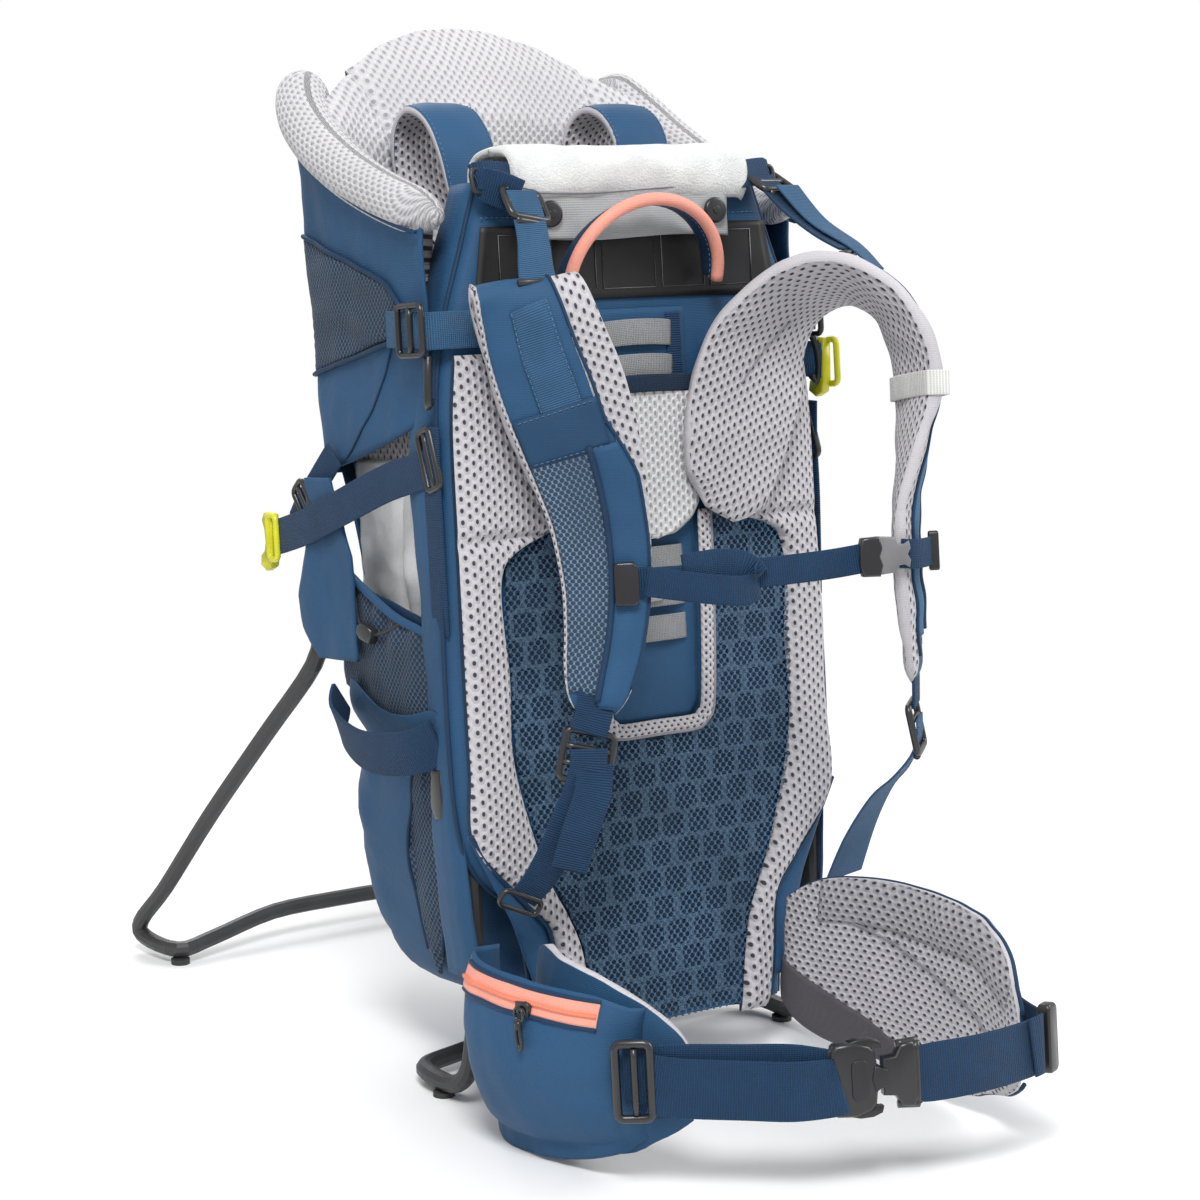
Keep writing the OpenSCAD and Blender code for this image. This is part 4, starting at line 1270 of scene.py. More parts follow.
# ---- Shoulder harness ----------------------------------------------------------------------
class Pad:
    """A padded strip that other pieces can be laid on."""

    def __init__(self, rows, edge=0.42, power=3.0, step=4.0, wrinkle=0.0, seed=0.0):
        self.fine = smooth(rows, step)
        self.centre = self.fine[:, :3]
        self.along = headings(self.centre)
        self.side = square_to(self.fine[:, 3:6], self.along)
        self.up = np.cross(self.along, self.side)
        self.far = lengths(self.centre)
        self.length = self.far[-1]
        inset = np.minimum(self.far, self.length - self.far)
        close = np.clip(inset / 16.0, 0, 1)
        corner = np.clip(inset / (0.4 * self.fine[:, 6]), 0, 1)
        self.wide = self.fine[:, 6] / 2 * np.clip(1 - 0.22 * (1 - corner) ** 2.5, 0, 1)
        self.thick = self.fine[:, 7] / 2 * np.sqrt(np.clip(1 - (1 - close) ** 2, 0.05, 1))
        self.edge, self.power, self.wrinkle, self.seed = edge, power, wrinkle, seed

    def row(self, values, s):
        return np.array([np.interp(s, self.far, values[:, k]) for k in range(values.shape[1])])

    def frame(self, s):
        return self.row(self.centre, s), self.row(self.side, s), self.row(self.up, s)

    def point(self, s, a, lift=0.0, face=1):
        """The point s mm along, a across (-1 to 1), lifted off the front or back face."""
        centre, side, up = self.frame(s)
        wide = np.interp(s, self.far, self.wide)
        thick = np.interp(s, self.far, self.thick)
        crown = self.edge + (1 - self.edge) * (1 - abs(min(1.0, abs(a))) ** self.power)
        high = thick * crown + lift
        if self.wrinkle:
            p = centre + side * a * wide
            high += self.wrinkle * noise.noise(Vector(p / 21.0) + Vector((self.seed, face, 0)))
        return centre + side * a * wide + up * high * face

    def skin(self, name, front, lining, blue_span, body="pack", half=18):
        """The pad itself. blue_span(share along) gives from and to across for the outer cloth;
        the rest, the edges and the back are lining."""
        a_values = np.sin(np.linspace(-math.pi / 2, math.pi / 2, half))
        rings, uvs, mat_of = [], [], []
        for k, s in enumerate(self.far):
            ring = [self.point(s, a) for a in a_values]
            ring += [self.point(s, a, 0, -1) for a in a_values[::-1]]
            w = self.wide[k]
            uv = [[a * w, s] for a in a_values] + [[a * w, s] for a in a_values[::-1]]
            rings.append(ring)
            uvs.append(np.array(uv) * MM)
            mat_of.append(blue_span(s / self.length))
        n = 2 * half
        rings = np.array(rings)
        obj = skin(name, pack(rings.reshape(-1, 3)).reshape(rings.shape), uvs, body,
                   [front, lining, m_knit if lining is m_mesh or front is m_mesh else front])
        index = []
        for k in range(len(self.far) - 1):
            lo, hi = mat_of[k]
            for i in range(n):
                if i < half - 1:
                    mid = (a_values[i] + a_values[i + 1]) / 2
                    index.append(0 if lo < mid < hi else 1)
                else:
                    index.append(2 if i in (half - 1, n - 1) else 1)
        index += [1, 1]
        obj.data.polygons.foreach_set("material_index", np.array(index, np.int32))
        return obj

    def patch(self, name, s0, s1, a0, a1, mat, lift=0.6, thick=1.0, body="pack", nu=14, puff=None,
              face=1):
        """Cloth laid on the pad from s0 to s1 along and from a0(s) to a1(s) across."""
        count = max(3, int((s1 - s0) / 4))
        points, uvs = [], []
        for s in np.linspace(s0, s1, count):
            lo = a0(s) if callable(a0) else a0
            hi = a1(s) if callable(a1) else a1
            w = np.interp(s, self.far, self.wide)
            row, uv = [], []
            for u in np.linspace(0, 1, nu):
                a = lo + (hi - lo) * u
                up = puff(u, (s - s0) / (s1 - s0)) if puff else 0.0
                row.append(self.point(s, a, lift + up, face))
                uv.append([a * w, s])
            points.append(row)
            uvs.append(uv)
        mid = self.frame((s0 + s1) / 2)[2] * face
        return grid(name, points, mat, uvs, body, thick, outward=mid)

    def line(self, a, s0, s1, lift=0.8, face=1):
        return np.array([self.point(s, a(s) if callable(a) else a, lift, face)
                         for s in np.linspace(s0, s1, max(3, int((s1 - s0) / 3)))])


SHOULDER_RIGHT = [
    [52, -22, 396, 0.94, 0, -0.35, 34, 9], [60, -22, 412, 0.94, 0, -0.35, 66, 12],
    [68, -22, 440, 0.94, 0, -0.33, 84, 13],
    [80, -22.5, 478, 0.94, 0, -0.3, 92, 14], [93, -27, 518, 0.93, 0.15, -0.3, 88, 15],
    [107, -48, 546, 0.75, 0.45, -0.45, 74, 15], [124, -80, 554, 0.6, 0.65, -0.4, 68, 16],
    [138, -108, 538, 0.42, 0.85, -0.25, 64, 16], [148, -122, 508, 0.3, 0.95, -0.1, 64, 16],
    [149, -126, 475, 0.32, 0.95, 0, 64, 16], [143, -126, 448, 0.45, 0.9, 0, 62, 16],
    [137, -126, 420, 0.6, 0.8, 0, 58, 16], [132, -126, 395, 0.7, 0.7, 0, 56, 15],
    [131, -126, 360, 0.75, 0.65, 0, 52, 15], [134, -124, 332, 0.75, 0.65, 0, 46, 14],
    [139, -120, 300, 0.75, 0.65, 0, 38, 12], [142, -117, 276, 0.75, 0.65, 0, 26, 9],
]
SHOULDER_LEFT = [
    [-50, -22, 398, 0.94, 0, 0.35, 34, 9], [-62, -22, 424, 0.94, 0, 0.35, 66, 12],
    [-82, -22.5, 480, 0.94, 0, 0.3, 82, 13], [-99, -25, 524, 0.94, 0, 0.2, 76, 13],
    [-110, -33, 550, 0.93, -0.2, 0.1, 70, 13], [-115, -44, 557, 0.88, -0.4, 0, 72, 14],
    [-112, -52, 540, 0.82, -0.55, 0, 77, 15], [-106, -55, 515, 0.8, -0.6, 0, 82, 16],
    [-97, -58, 485, 0.8, -0.6, 0, 84, 16], [-84, -60, 440, 0.8, -0.6, 0, 77, 16],
    [-76, -60, 403, 0.8, -0.6, 0, 67, 16], [-73, -60, 361, 0.8, -0.6, 0, 60, 15],
    [-76, -60, 329, 0.8, -0.6, 0, 55, 15], [-81, -59, 303, 0.8, -0.6, 0, 49, 14],
    [-87, -58, 276, 0.8, -0.6, 0, 36, 11],
]


def left_strap():
    """The left strap: grey lining, blue outer cloth, sewn webbing, a blank patch and a net panel."""
    pad = Pad(SHOULDER_LEFT, wrinkle=1.6, seed=1.0)
    top = float(np.interp(5.5, range(len(SHOULDER_LEFT)),
                          [0, 30, 90, 137, 165, 178, 196, 221, 253, 300, 338, 380, 412, 439, 467]))

    def span(t):
        s = t * pad.length
        right = float(np.interp(s - top, [0, 90, 130, 170, 205], [0.46, 0.52, 0.86, 0.95, 0.97]))
        return -0.92, right

    body = pad.skin("shoulder_left", m_blue, m_mesh, span)
    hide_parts("shoulder_pad_left")
    tape = pad.patch("left_strap_tape", top + 6, top + 78, -0.42, 0.26, m_web_light, lift=0.8,
                     thick=1.6, nu=12)
    blank = pad.patch("left_strap_patch", top + 74, top + 108, -0.9, 0.5, m_blue_dark2, lift=1.1,
                      thick=1.2, nu=20)
    net = pad.patch("left_strap_net", top + 104, top + 272, -0.9,
                    lambda s: 0.02 + 0.1 * math.sin((s - top) / 90),
                    m_side_net2, lift=0.9, thick=0.8, nu=18)
    plain = pad.patch("left_strap_strip", top + 106, top + 280,
                      lambda s: 0.06 + 0.1 * math.sin((s - top) / 90),
                      lambda s: span(s / pad.length)[1] - 0.03,
                      m_blue, lift=1.0, thick=1.2, nu=12,
                      puff=lambda u, v: 1.6 * math.sin(math.pi * u))
    ridge = tube("left_strap_piping",
                 pad.line(lambda s: 0.05 + 0.1 * math.sin((s - top) / 90), top + 104, top + 276, 2.2),
                 2.2, m_blue_dark, sides=10)
    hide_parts("sternum_rails")
    for name, a in (("a", -0.4), ("b", 0.24)):
        stitches("left_tape_stitch_" + name, pad.line(a, top + 6, top + 76, 1.9), m_thread)
    for s in (top + 76, top + 106):
        line = np.array([pad.point(s, a, 2.1) for a in np.linspace(-0.86, 0.46, 30)])
        stitches("left_patch_stitch", line, m_thread)
    edge_a = tube("left_strap_edge_a", pad.line(-0.95, top - 20, pad.length - 20, 0.6), 1.3,
                  m_mesh_fine, sides=8)
    edge_b = tube("left_strap_edge_b",
                  pad.line(lambda s: span(s / pad.length)[1], top - 10, pad.length - 18, 0.9),
                  1.2, m_blue_dark, sides=8)
    return pad, top


LEFT_PAD, LEFT_TOP = left_strap()


def right_strap():
    """The right strap, curled over so that its lining faces the front at the top."""
    pad = Pad(SHOULDER_RIGHT, wrinkle=1.8, seed=5.0, edge=0.5)

    body = pad.skin("shoulder_right", m_blue, m_mesh, lambda t: (-0.55, 0.93))
    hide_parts("shoulder_pad_right")
    low = pad.length
    made = [
        pad.patch("right_strap_tape", low - 340, low - 262, -0.3, 0.32, m_web_light, lift=0.8,
                  thick=1.6, nu=12),
        pad.patch("right_strap_patch", low - 266, low - 232, -0.5, 0.9, m_blue_light, lift=1.0,
                  thick=1.2, nu=18),
        pad.patch("right_strap_net", low - 234, low - 40, 0.1, 0.9, m_side_net2, lift=0.9, thick=0.8,
                  nu=16),
        pad.patch("right_strap_strip", low - 234, low - 34, -0.52, 0.04, m_blue_light, lift=1.0,
                  thick=1.2,
                  nu=12, puff=lambda u, v: 1.8 * math.sin(math.pi * u)),
        tube("right_strap_piping", pad.line(0.07, low - 236, low - 36, 2.2), 2.2, m_blue_dark, sides=10),
        tube("right_strap_edge_a", pad.line(-0.56, 150, low - 20, 0.9), 1.2, m_blue_dark, sides=8),
        tube("right_strap_edge_b", pad.line(0.95, 150, low - 20, 0.8), 1.3, m_mesh_fine, sides=8),
    ]
    fold = pad.line(lambda s: -0.25 + 0.5 * (s - 90) / 60, 92, 150, 0.4, -1)
    crease = tube("yoke_crease", fold, 0.7, m_thread_grey, sides=6)
    return pad


RIGHT_PAD = right_strap()


def strap_ends():
    """Ribbed webbing loops from the straps' ends into their ladder locks."""
    rows = [[-87, -63, 292, 0.8, -0.6, 0, 25], [-90, -61, 274, 0.82, -0.55, -0.1, 25],
            [-93, -57.5, 262, 0.85, -0.48, -0.2, 25]]
    left = web_strap("strap_end_left", rows, m_web, thick=2.4)
    rows = [[142, -119, 290, 0.75, 0.65, 0, 25], [143, -117, 272, 0.75, 0.65, 0.05, 25],
            [144, -115, 258, 0.75, 0.65, 0.1, 25]]
    right = web_strap("strap_end_right", rows, m_web, thick=2.4)


strap_ends()


def shoulder_locks():
    """The two ladder locks; each tilts on the webbing loop above it."""
    for body, node, at, x, z in (
        ("left_shoulder_lock", "shoulder_lock_left", [-94, -56, 246], [0.85, -0.45, -0.25],
         [-0.45, -0.85, 0.1]),
        ("right_shoulder_lock", "shoulder_lock_right", [144, -114, 243], [0.75, 0.65, 0.1],
         [0.65, -0.75, 0.15]),
    ):
        x = unit(x)
        y = unit(np.cross(z, x))
        lock = loop_buckle(node + "_frame", at, x, y, 33, 33, 3, m_gloss, body, r=2.5, bar=2.2)
        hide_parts(node)


shoulder_locks()


def lower_webbing():
    """The adjusting webbing from the locks down to the hip belt and its rings."""
    rows = [[-95, -60.5, 252, 0.85, -0.45, -0.25, 25], [-96, -60.0, 240, 0.85, -0.45, -0.25, 25],
            [-100, -57, 224, 0.86, -0.45, -0.25, 25], [-108, -52, 206, 0.9, -0.35, -0.3, 25],
            [-115, -44, 184, 0.9, -0.25, -0.4, 25], [-122, -34, 166, 0.9, -0.15, -0.4, 24],
            [-131, -25, 152, 0.9, -0.1, -0.4, 22]]
    left = web_strap("lower_web_left", rows, m_web, thick=1.8)
    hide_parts("harness_webbing")
    tail = [[-91, -61, 242, 0.85, -0.45, -0.2, 25], [-96, -63, 222, 0.85, -0.45, -0.2, 25],
            [-106, -60, 196, 0.86, -0.4, -0.3, 25], [-112, -54, 172, 0.88, -0.3, -0.35, 25]]
    tail_web = web_strap("lower_web_tail", tail, m_web, thick=1.8)
    ring = loop_buckle("fin_ring_left", [-133, -25, 150], [0.9, -0.1, -0.4], [0.35, -0.35, 0.85], 30,
                       11, 1, m_gloss,
                       r=2.0, lip=False)
    rows = [[143, -119, 250, 0.75, 0.65, 0.1, 25], [144, -117, 238, 0.75, 0.65, 0.1, 25],
            [146, -108, 224, 0.78, 0.6, 0.1, 25], [148, -90, 208, 0.85, 0.45, 0.1, 27],
            [151, -64, 190, 0.9, 0.3, 0.1, 30], [154, -36, 160, 0.95, 0.1, 0.2, 34],
            [156, -12, 124, 0.95, 0, 0.2, 36]]
    right = web_strap("lower_web_right", rows, m_web_light, thick=1.8)


lower_webbing()


def load_straps():
    """The load adjusters: short webbing from the panel's top to the shoulder straps."""
    rows = [[-99, -23, 622, 1, 0.05, -0.1, 25], [-99, -31, 604, 1, 0, -0.05, 25],
            [-101, -38, 586, 1, 0, 0, 25],
            [-105, -45, 570, 1, -0.1, 0, 26], [-107, -50, 560, 0.95, -0.2, 0, 27]]
    left = web_strap("load_web_left", rows, m_web_light, thick=2.0)
    back = [[-122, -9, 628, 0.1, -0.2, 1, 22], [-112, -16, 624, 0.1, -0.3, 1, 24],
            [-100, -21, 618, 0.05, -0.3, 1, 24]]
    inner = web_strap("load_anchor_web_left", back, m_web, thick=1.8)
    bar = tube("load_bar_left", [[-123, -50, 561], [-108, -52, 561], [-92, -56, 561]], 2.2, m_black,
               sides=10)
    rows = [[112, -12, 630, 0.95, 0.25, 0.1, 25], [115, -24, 618, 0.92, 0.3, 0.1, 25],
            [118, -42, 602, 0.88, 0.35, 0.1, 26],
            [124, -62, 586, 0.82, 0.45, 0.1, 26], [130, -82, 574, 0.75, 0.55, 0.1, 26]]
    right = web_strap("load_web_right", rows, m_web, thick=2.0)
    tail = [[122, -28, 622, 0.9, 0.3, 0.1, 25], [128, -52, 596, 0.85, 0.4, 0.1, 25],
            [140, -78, 576, 0.75, 0.5, 0.1, 25],
            [147, -92, 560, 0.7, 0.55, 0.1, 25]]
    tail_web = web_strap("load_tail_right", tail, m_web_light, thick=1.8)
    bar2 = tube("load_bar_right", [[118, -88, 571], [130, -84, 572], [142, -76, 572]], 2.2, m_black,
                sides=10)
    for body, node, at, x, z in (
        ("left_load_lock", "load_lock_left", [-97, -24, 613], [1, 0.1, -0.15], [0, -0.8, 0.6]),
        ("right_load_lock", "load_lock_right", [117, -14, 626], [1, 0.2, 0], [0.1, -0.5, 0.8]),
    ):
        x = unit(x)
        y = unit(np.cross(z, x))
        lock = loop_buckle(node + "_frame", at, x, y, 31, 24, 2, m_gloss, body, r=2.6, bar=2.4)
        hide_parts(node)


load_straps()


def chest_strap():
    """The chest strap with its sliders, side-release buckle and loose tail loop."""
    rows = [[-62, -80, 360, 0, 0, 1, 20], [-52, -86, 360, 0, 0, 1, 20], [-20, -97, 360, 0, 0, 1, 20],
            [20, -112, 361, 0, 0, 1, 20], [60, -128, 363, 0, 0, 1, 20], [88, -139, 366, 0, 0, 1, 20]]
    main = web_strap("chest_web", rows, m_web, "chest_strap", thick=2.2)
    loop = [[-58, -84, 361, 0, 0, 1, 20], [-40, -93, 357, 0, 0, 1, 20], [-14, -108, 352, 0, 0, 1, 20],
            [4, -114, 351, 0, 0, 1, 20], [12, -112, 357, 0, 0, 1, 20], [6, -108, 366, 0, 0.1, 1, 20],
            [-10, -101, 369, 0, 0.1, 1, 20], [-34, -93, 367, 0, 0, 1, 20]]
    tail = web_strap("chest_tail", loop, m_web, "chest_strap", thick=1.8)
    fold = web_strap("chest_keeper", [[10, -106.5, 356, 0.1, 0, 1, 23], [13, -110.5, 357, 0.1, 0, 1, 23],
                                      [10, -114, 356, 0.1, 0, 1, 23]], m_web, "chest_strap", thick=1.6)
    end = [[108, -148, 367, 0, 0, 1, 20], [118, -152, 366, 0, 0, 1, 20], [130, -149, 366, 0, 0, 1, 20],
           [141, -142, 366, 0, 0, 1, 20]]
    short = web_strap("chest_web_right", end, m_web, "chest_strap", thick=2.2)
    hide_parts("sternum_strap")
    clip = block("chest_slider_left", [-70, -78, 360], [0.8, -0.6, 0], [0, 0, 1],
                 rounded_outline(15, 29, 3), 8,
                 m_gloss, "chest_strap", soft=1.6)
    slot = block("chest_slider_bar", [-66, -83, 360], [0.8, -0.6, 0], [0, 0, 1],
                 rounded_outline(5, 26, 2), 4,
                 m_black, "chest_strap", soft=1.0)
    clip2 = block("chest_slider_right", [142, -143, 366], [0.6, 0.8, 0], [0, 0, 1],
                  rounded_outline(7, 27, 2), 7,
                  m_black, "chest_strap", soft=1.2)
    x = unit([0.9, -0.42, 0])
    shape = [[-9, -13], [3, -12], [5, -7.5], [9.5, -7], [13, -9], [14, -4], [12, 0], [14, 4], [13, 9],
             [9.5, 7], [5, 7.5],
             [3, 12], [-9, 13]]
    shell = block("chest_buckle_male", [101, -145, 366.5], x, [0, 0, 1], shape, 7.5, m_grey_plastic,
                  "chest_strap", soft=1.4)
    female = block("chest_buckle_female", [90, -140.5, 366], x, [0, 0, 1],
                   [[-8, -13], [4, -13.5], [6, -6], [4, 0], [6, 6], [4, 13.5], [-8, 13], [-10, 6],
                    [-10, -6]], 9.5,
                   m_gloss, "chest_strap", soft=2.0)
    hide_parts("sternum_buckle")


chest_strap()


def hose_loop():
    """The white elastic loop round the right strap."""
    s = RIGHT_PAD.length - 205
    ring = []
    for a in np.linspace(-1, 1, 20):
        ring.append(RIGHT_PAD.point(s, a * 1.02, 2.6, 1))
    for a in np.linspace(1, -1, 20):
        ring.append(RIGHT_PAD.point(s, a * 1.02, 1.6, -1))
    ring = np.array(ring)
    ring = np.vstack([ring, ring[:2]])
    along = RIGHT_PAD.row(RIGHT_PAD.along, s)
    rows = np.hstack([ring, np.tile(along, (len(ring), 1)), np.full((len(ring), 1), 17.0)])
    band = web_strap("hose_band", rows, m_elastic, thick=1.6, step=2.5)
    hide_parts("hose_loop")


hose_loop()


# ---- Hip belt ------------------------------------------------------------------------------
FIN_LEFT = [[-108, -12, 80, 0, 0, 1, 86, 12], [-122, -34, 72, 0, 0, 1, 110, 16],
            [-137, -75, 62, 0, 0, 1, 120, 17], [-138, -120, 56, 0, 0, 1, 114, 17],
            [-127, -156, 50, 0, 0, 1, 92, 15], [-117, -174, 44, 0, 0, 1, 60, 12],
            [-110, -184, 40, 0, 0, 1, 36, 9]]
FIN_RIGHT = [[103, -6, 78, 0, 0, 1, 96, 12], [112, -42, 74, 0, 0, 1, 116, 17],
             [121, -95, 72, 0, 0, 1, 128, 19], [126, -150, 64, 0, 0, 1, 134, 19],
             [122, -198, 58, 0, 0, 1, 122, 17], [111, -234, 46, 0, 0, 1, 84, 13],
             [103, -250, 42, 0, 0, 1, 48, 9]]


def whole_face(share):
    """The outer cloth covers the whole front face."""
    return -1.1, 1.1


def hip_fins():
    """The hip belt's two padded wings: grey mesh inside, blue cloth outside."""
    right = Pad(FIN_RIGHT, edge=0.35, power=2.6, wrinkle=2.0, seed=3.0)

    wing = right.skin("hip_wing_right", m_mesh, m_blue, whole_face, half=22)
    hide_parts("hip_fin_right")
    left = Pad(FIN_LEFT, edge=0.35, power=2.6, wrinkle=1.6, seed=8.0)
    wing_left = left.skin("hip_wing_left", m_blue, m_mesh, whole_face, half=22)
    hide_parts("hip_fin_left")
    made = []
    lower = right.patch("wing_base_cloth", 0, 170, -1.0, lambda s: -0.9 + 0.75 * max(0.0, 1 - s / 150),
                        m_dark_cloth, lift=0.9, thick=1.2, nu=10, face=1)
    fold = right.line(lambda s: 0.62 - 0.9 * (s / 240) ** 1.6, 40, 236, 0.7, 1)
    crease = tube("wing_crease", fold, 0.8, m_thread_grey, sides=6)
    # Painted shade: the wing's upper roll uses the darker copy of the grey mesh.
    roll = right.patch("wing_upper_roll", 36, 232, 0.5, 0.98, m_mesh_shade, lift=0.6, thick=1.0,
                       nu=14, face=1,
                       puff=lambda u, v: 3.4 * math.sin(math.pi * u) * math.sin(math.pi * v) ** 0.5)
    edge = tube("wing_piping_right", right.line(0.99, 6, right.length - 4, -4.0), 1.6, m_blue_dark,
                sides=8)
    edge2 = tube("wing_piping_low", right.line(-0.99, 6, right.length - 4, -4.0), 1.6, m_blue_dark,
                 sides=8)
    made += [edge, edge2]
    tapes = [right.patch("wing_tape_right", 120, right.length - 4, -0.32, 0.32, m_web, lift=1.4,
                         thick=1.8, nu=12, face=-1),
             left.patch("wing_tape_left", 140, left.length - 4, -0.5, 0.5, m_web, lift=1.4, thick=1.8,
                        nu=12)]
    made += tapes
    return left, right


FIN_L, FIN_R = hip_fins()


def hip_pocket():
    """The left wing's pocket: a stuffed bag with a zip mouth."""
    # Sections from the rear to the front: x, y, top, foot and how far out the bag bulges
    sections = [[-152, -14, 122, 18, -164], [-158, -22, 124, 6, -178], [-163, -40, 121, -2, -188],
                [-161, -72, 117, -4, -189], [-156, -104, 113, -3, -181], [-150, -130, 110, 2, -171],
                [-143, -148, 106, 8, -160], [-136, -158, 98, 18, -148]]
    fine = smooth(sections, 4.0)
    rows, uvs = [], []
    far = lengths(np.hstack([fine[:, :2], np.zeros((len(fine), 1))]))
    count = 34
    for k, (x, y, top, low, out) in enumerate(fine):
        line, uv = [], []
        end = min(k, len(fine) - 1 - k) / 4.0
        swell = math.sqrt(max(0.0, 1 - (1 - min(end, 1.0)) ** 2))
        inner = x + 12
        for v in np.linspace(0, 1, count):
            z = top + (low - top) * v
            around = math.sin(math.pi * min(1.0, 0.12 + v * 0.98)) ** 0.55
            full = 0.35 + 0.65 * around
            px = inner + (out - inner) * full * (0.25 + 0.75 * swell)
            wave = 1.5 * ripple(y / 24, z / 20, 2.0) + 0.7 * ripple(y / 9, z / 11, 7.0)
            line.append([px + wave, y - 0.15 * (out - x) * 0.2 * full + wave * 0.3,
                         z + 2 * math.cos(math.pi * v) * (1 - full)])
            uv.append([far[k], z])
        rows.append(line)
        uvs.append(uv)
    bag = grid("hip_pocket_bag", rows, m_blue, uvs, thick=1.6, outward=(-1, 0, 0))
    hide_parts("hip_pocket")
    return np.array(rows)


POCKET = hip_pocket()


def pocket_point(y, z, lift=0.0):
    """The pocket's surface at a y and a height, lifted outwards."""
    columns = POCKET[:, :, 1].mean(1)
    share = float(np.interp(-y, -columns, np.arange(len(columns))))
    first = min(int(share), len(columns) - 2)
    line = POCKET[first] + (POCKET[first + 1] - POCKET[first]) * (share - first)
    order = np.argsort(line[:, 2])
    x = float(np.interp(z, line[order, 2], line[order, 0]))
    along = unit(POCKET[min(first + 2, len(POCKET) - 1)].mean(0) - POCKET[max(first - 1, 0)].mean(0))
    out = unit(np.cross([0, 0, 1.0], along))
    if out[0] > 0:
        out = -out
    return np.array([x, y, z]) + out * lift


def pocket_zip():
    """The coral zip: tape with a coil in its middle, sewn into the pocket's mouth."""
    ys = np.linspace(-30, -146, 46)
    height = 110 + (ys + 30) * 0.115

    def run(dz, lift):
        return smooth(np.array([pocket_point(y, z + dz, lift) for y, z in zip(ys, height)])[::5], 3.0)

    mid = run(0.0, 1.6)
    rows, uvs = [], []
    for dz in np.linspace(7.5, -7.5, 9):
        line = run(dz, 1.8)
        rows.append(evenly(line, 60))
        uvs.append([[k * 2.0, dz] for k in range(60)])
    tape = grid("zip_tape", rows, m_coral_tape, uvs, thick=1.2, outward=(-1, 0, 0))
    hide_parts("pocket_zip")
    coil = tube("zip_coil", mid + np.array([-1.5, 0, 0]), 1.5, m_coral, sides=8)
    teeth = stitches("zip_teeth", mid + np.array([-2.6, -0.3, 0.0]), m_coral_tape, long=0.9, gap=0.9,
                     r=0.6)
    for name, dz in (("up", 8.4), ("low", -8.4)):
        fold = tube("zip_fold_" + name, run(dz, 1.4), 1.7, m_blue_dark, sides=8)


pocket_zip()
ZIP_ALONG = unit([10, -64, -9])
ZIP_OUT = unit([-64, -10, 0])
ZIP_AT = np.array([-182.6, -72.4, 102.0])


def zip_parts():
    """The zip's slider and its corded pull."""
    at = ZIP_AT + 25 * ZIP_ALONG + 3.2 * ZIP_OUT
    up = np.cross(ZIP_OUT, ZIP_ALONG)
    slider = block("zip_slider_body", at, ZIP_ALONG, up,
                   [[-6, -3.5], [2, -5], [6, -4], [6, 4], [2, 5], [-6, 3.5]], 4.4,
                   m_gloss, "pocket_slider", soft=1.0)
    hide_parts("zip_slider")
    top = ZIP_AT + 25 * ZIP_ALONG + 7.4 * ZIP_OUT
    ring = loop_buckle("pull_ring", top + np.array([0, 0, -3.5]), ZIP_ALONG, [0, 0, 1], 8, 9, 1,
                       m_gloss, "pocket_pull",
                       r=1.1, lip=False)
    cord = smooth(np.array([top + np.array([0, 0.5, -6]), top + np.array([-1, 2.6, -14]),
                            top + np.array([-1, 1.5, -23]),
                            top + np.array([-1.2, -1.8, -26]), top + np.array([-1, -3.2, -20]),
                            top + np.array([-1, -1.6, -12]), top + np.array([0, -0.4, -6])]), 1.5)
    loop = tube("pull_cord", cord, 1.2, m_black, "pocket_pull", sides=8)
    knot = tube("pull_knot", evenly([top + np.array([-0.8, 0.4, -8]),
                                     top + np.array([-0.8, 0.2, -13])], 4), 2.4, m_black,
                "pocket_pull", sides=10)
    pull = joined("pull_loop", [loop, knot])
    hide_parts("zip_pull")


zip_parts()


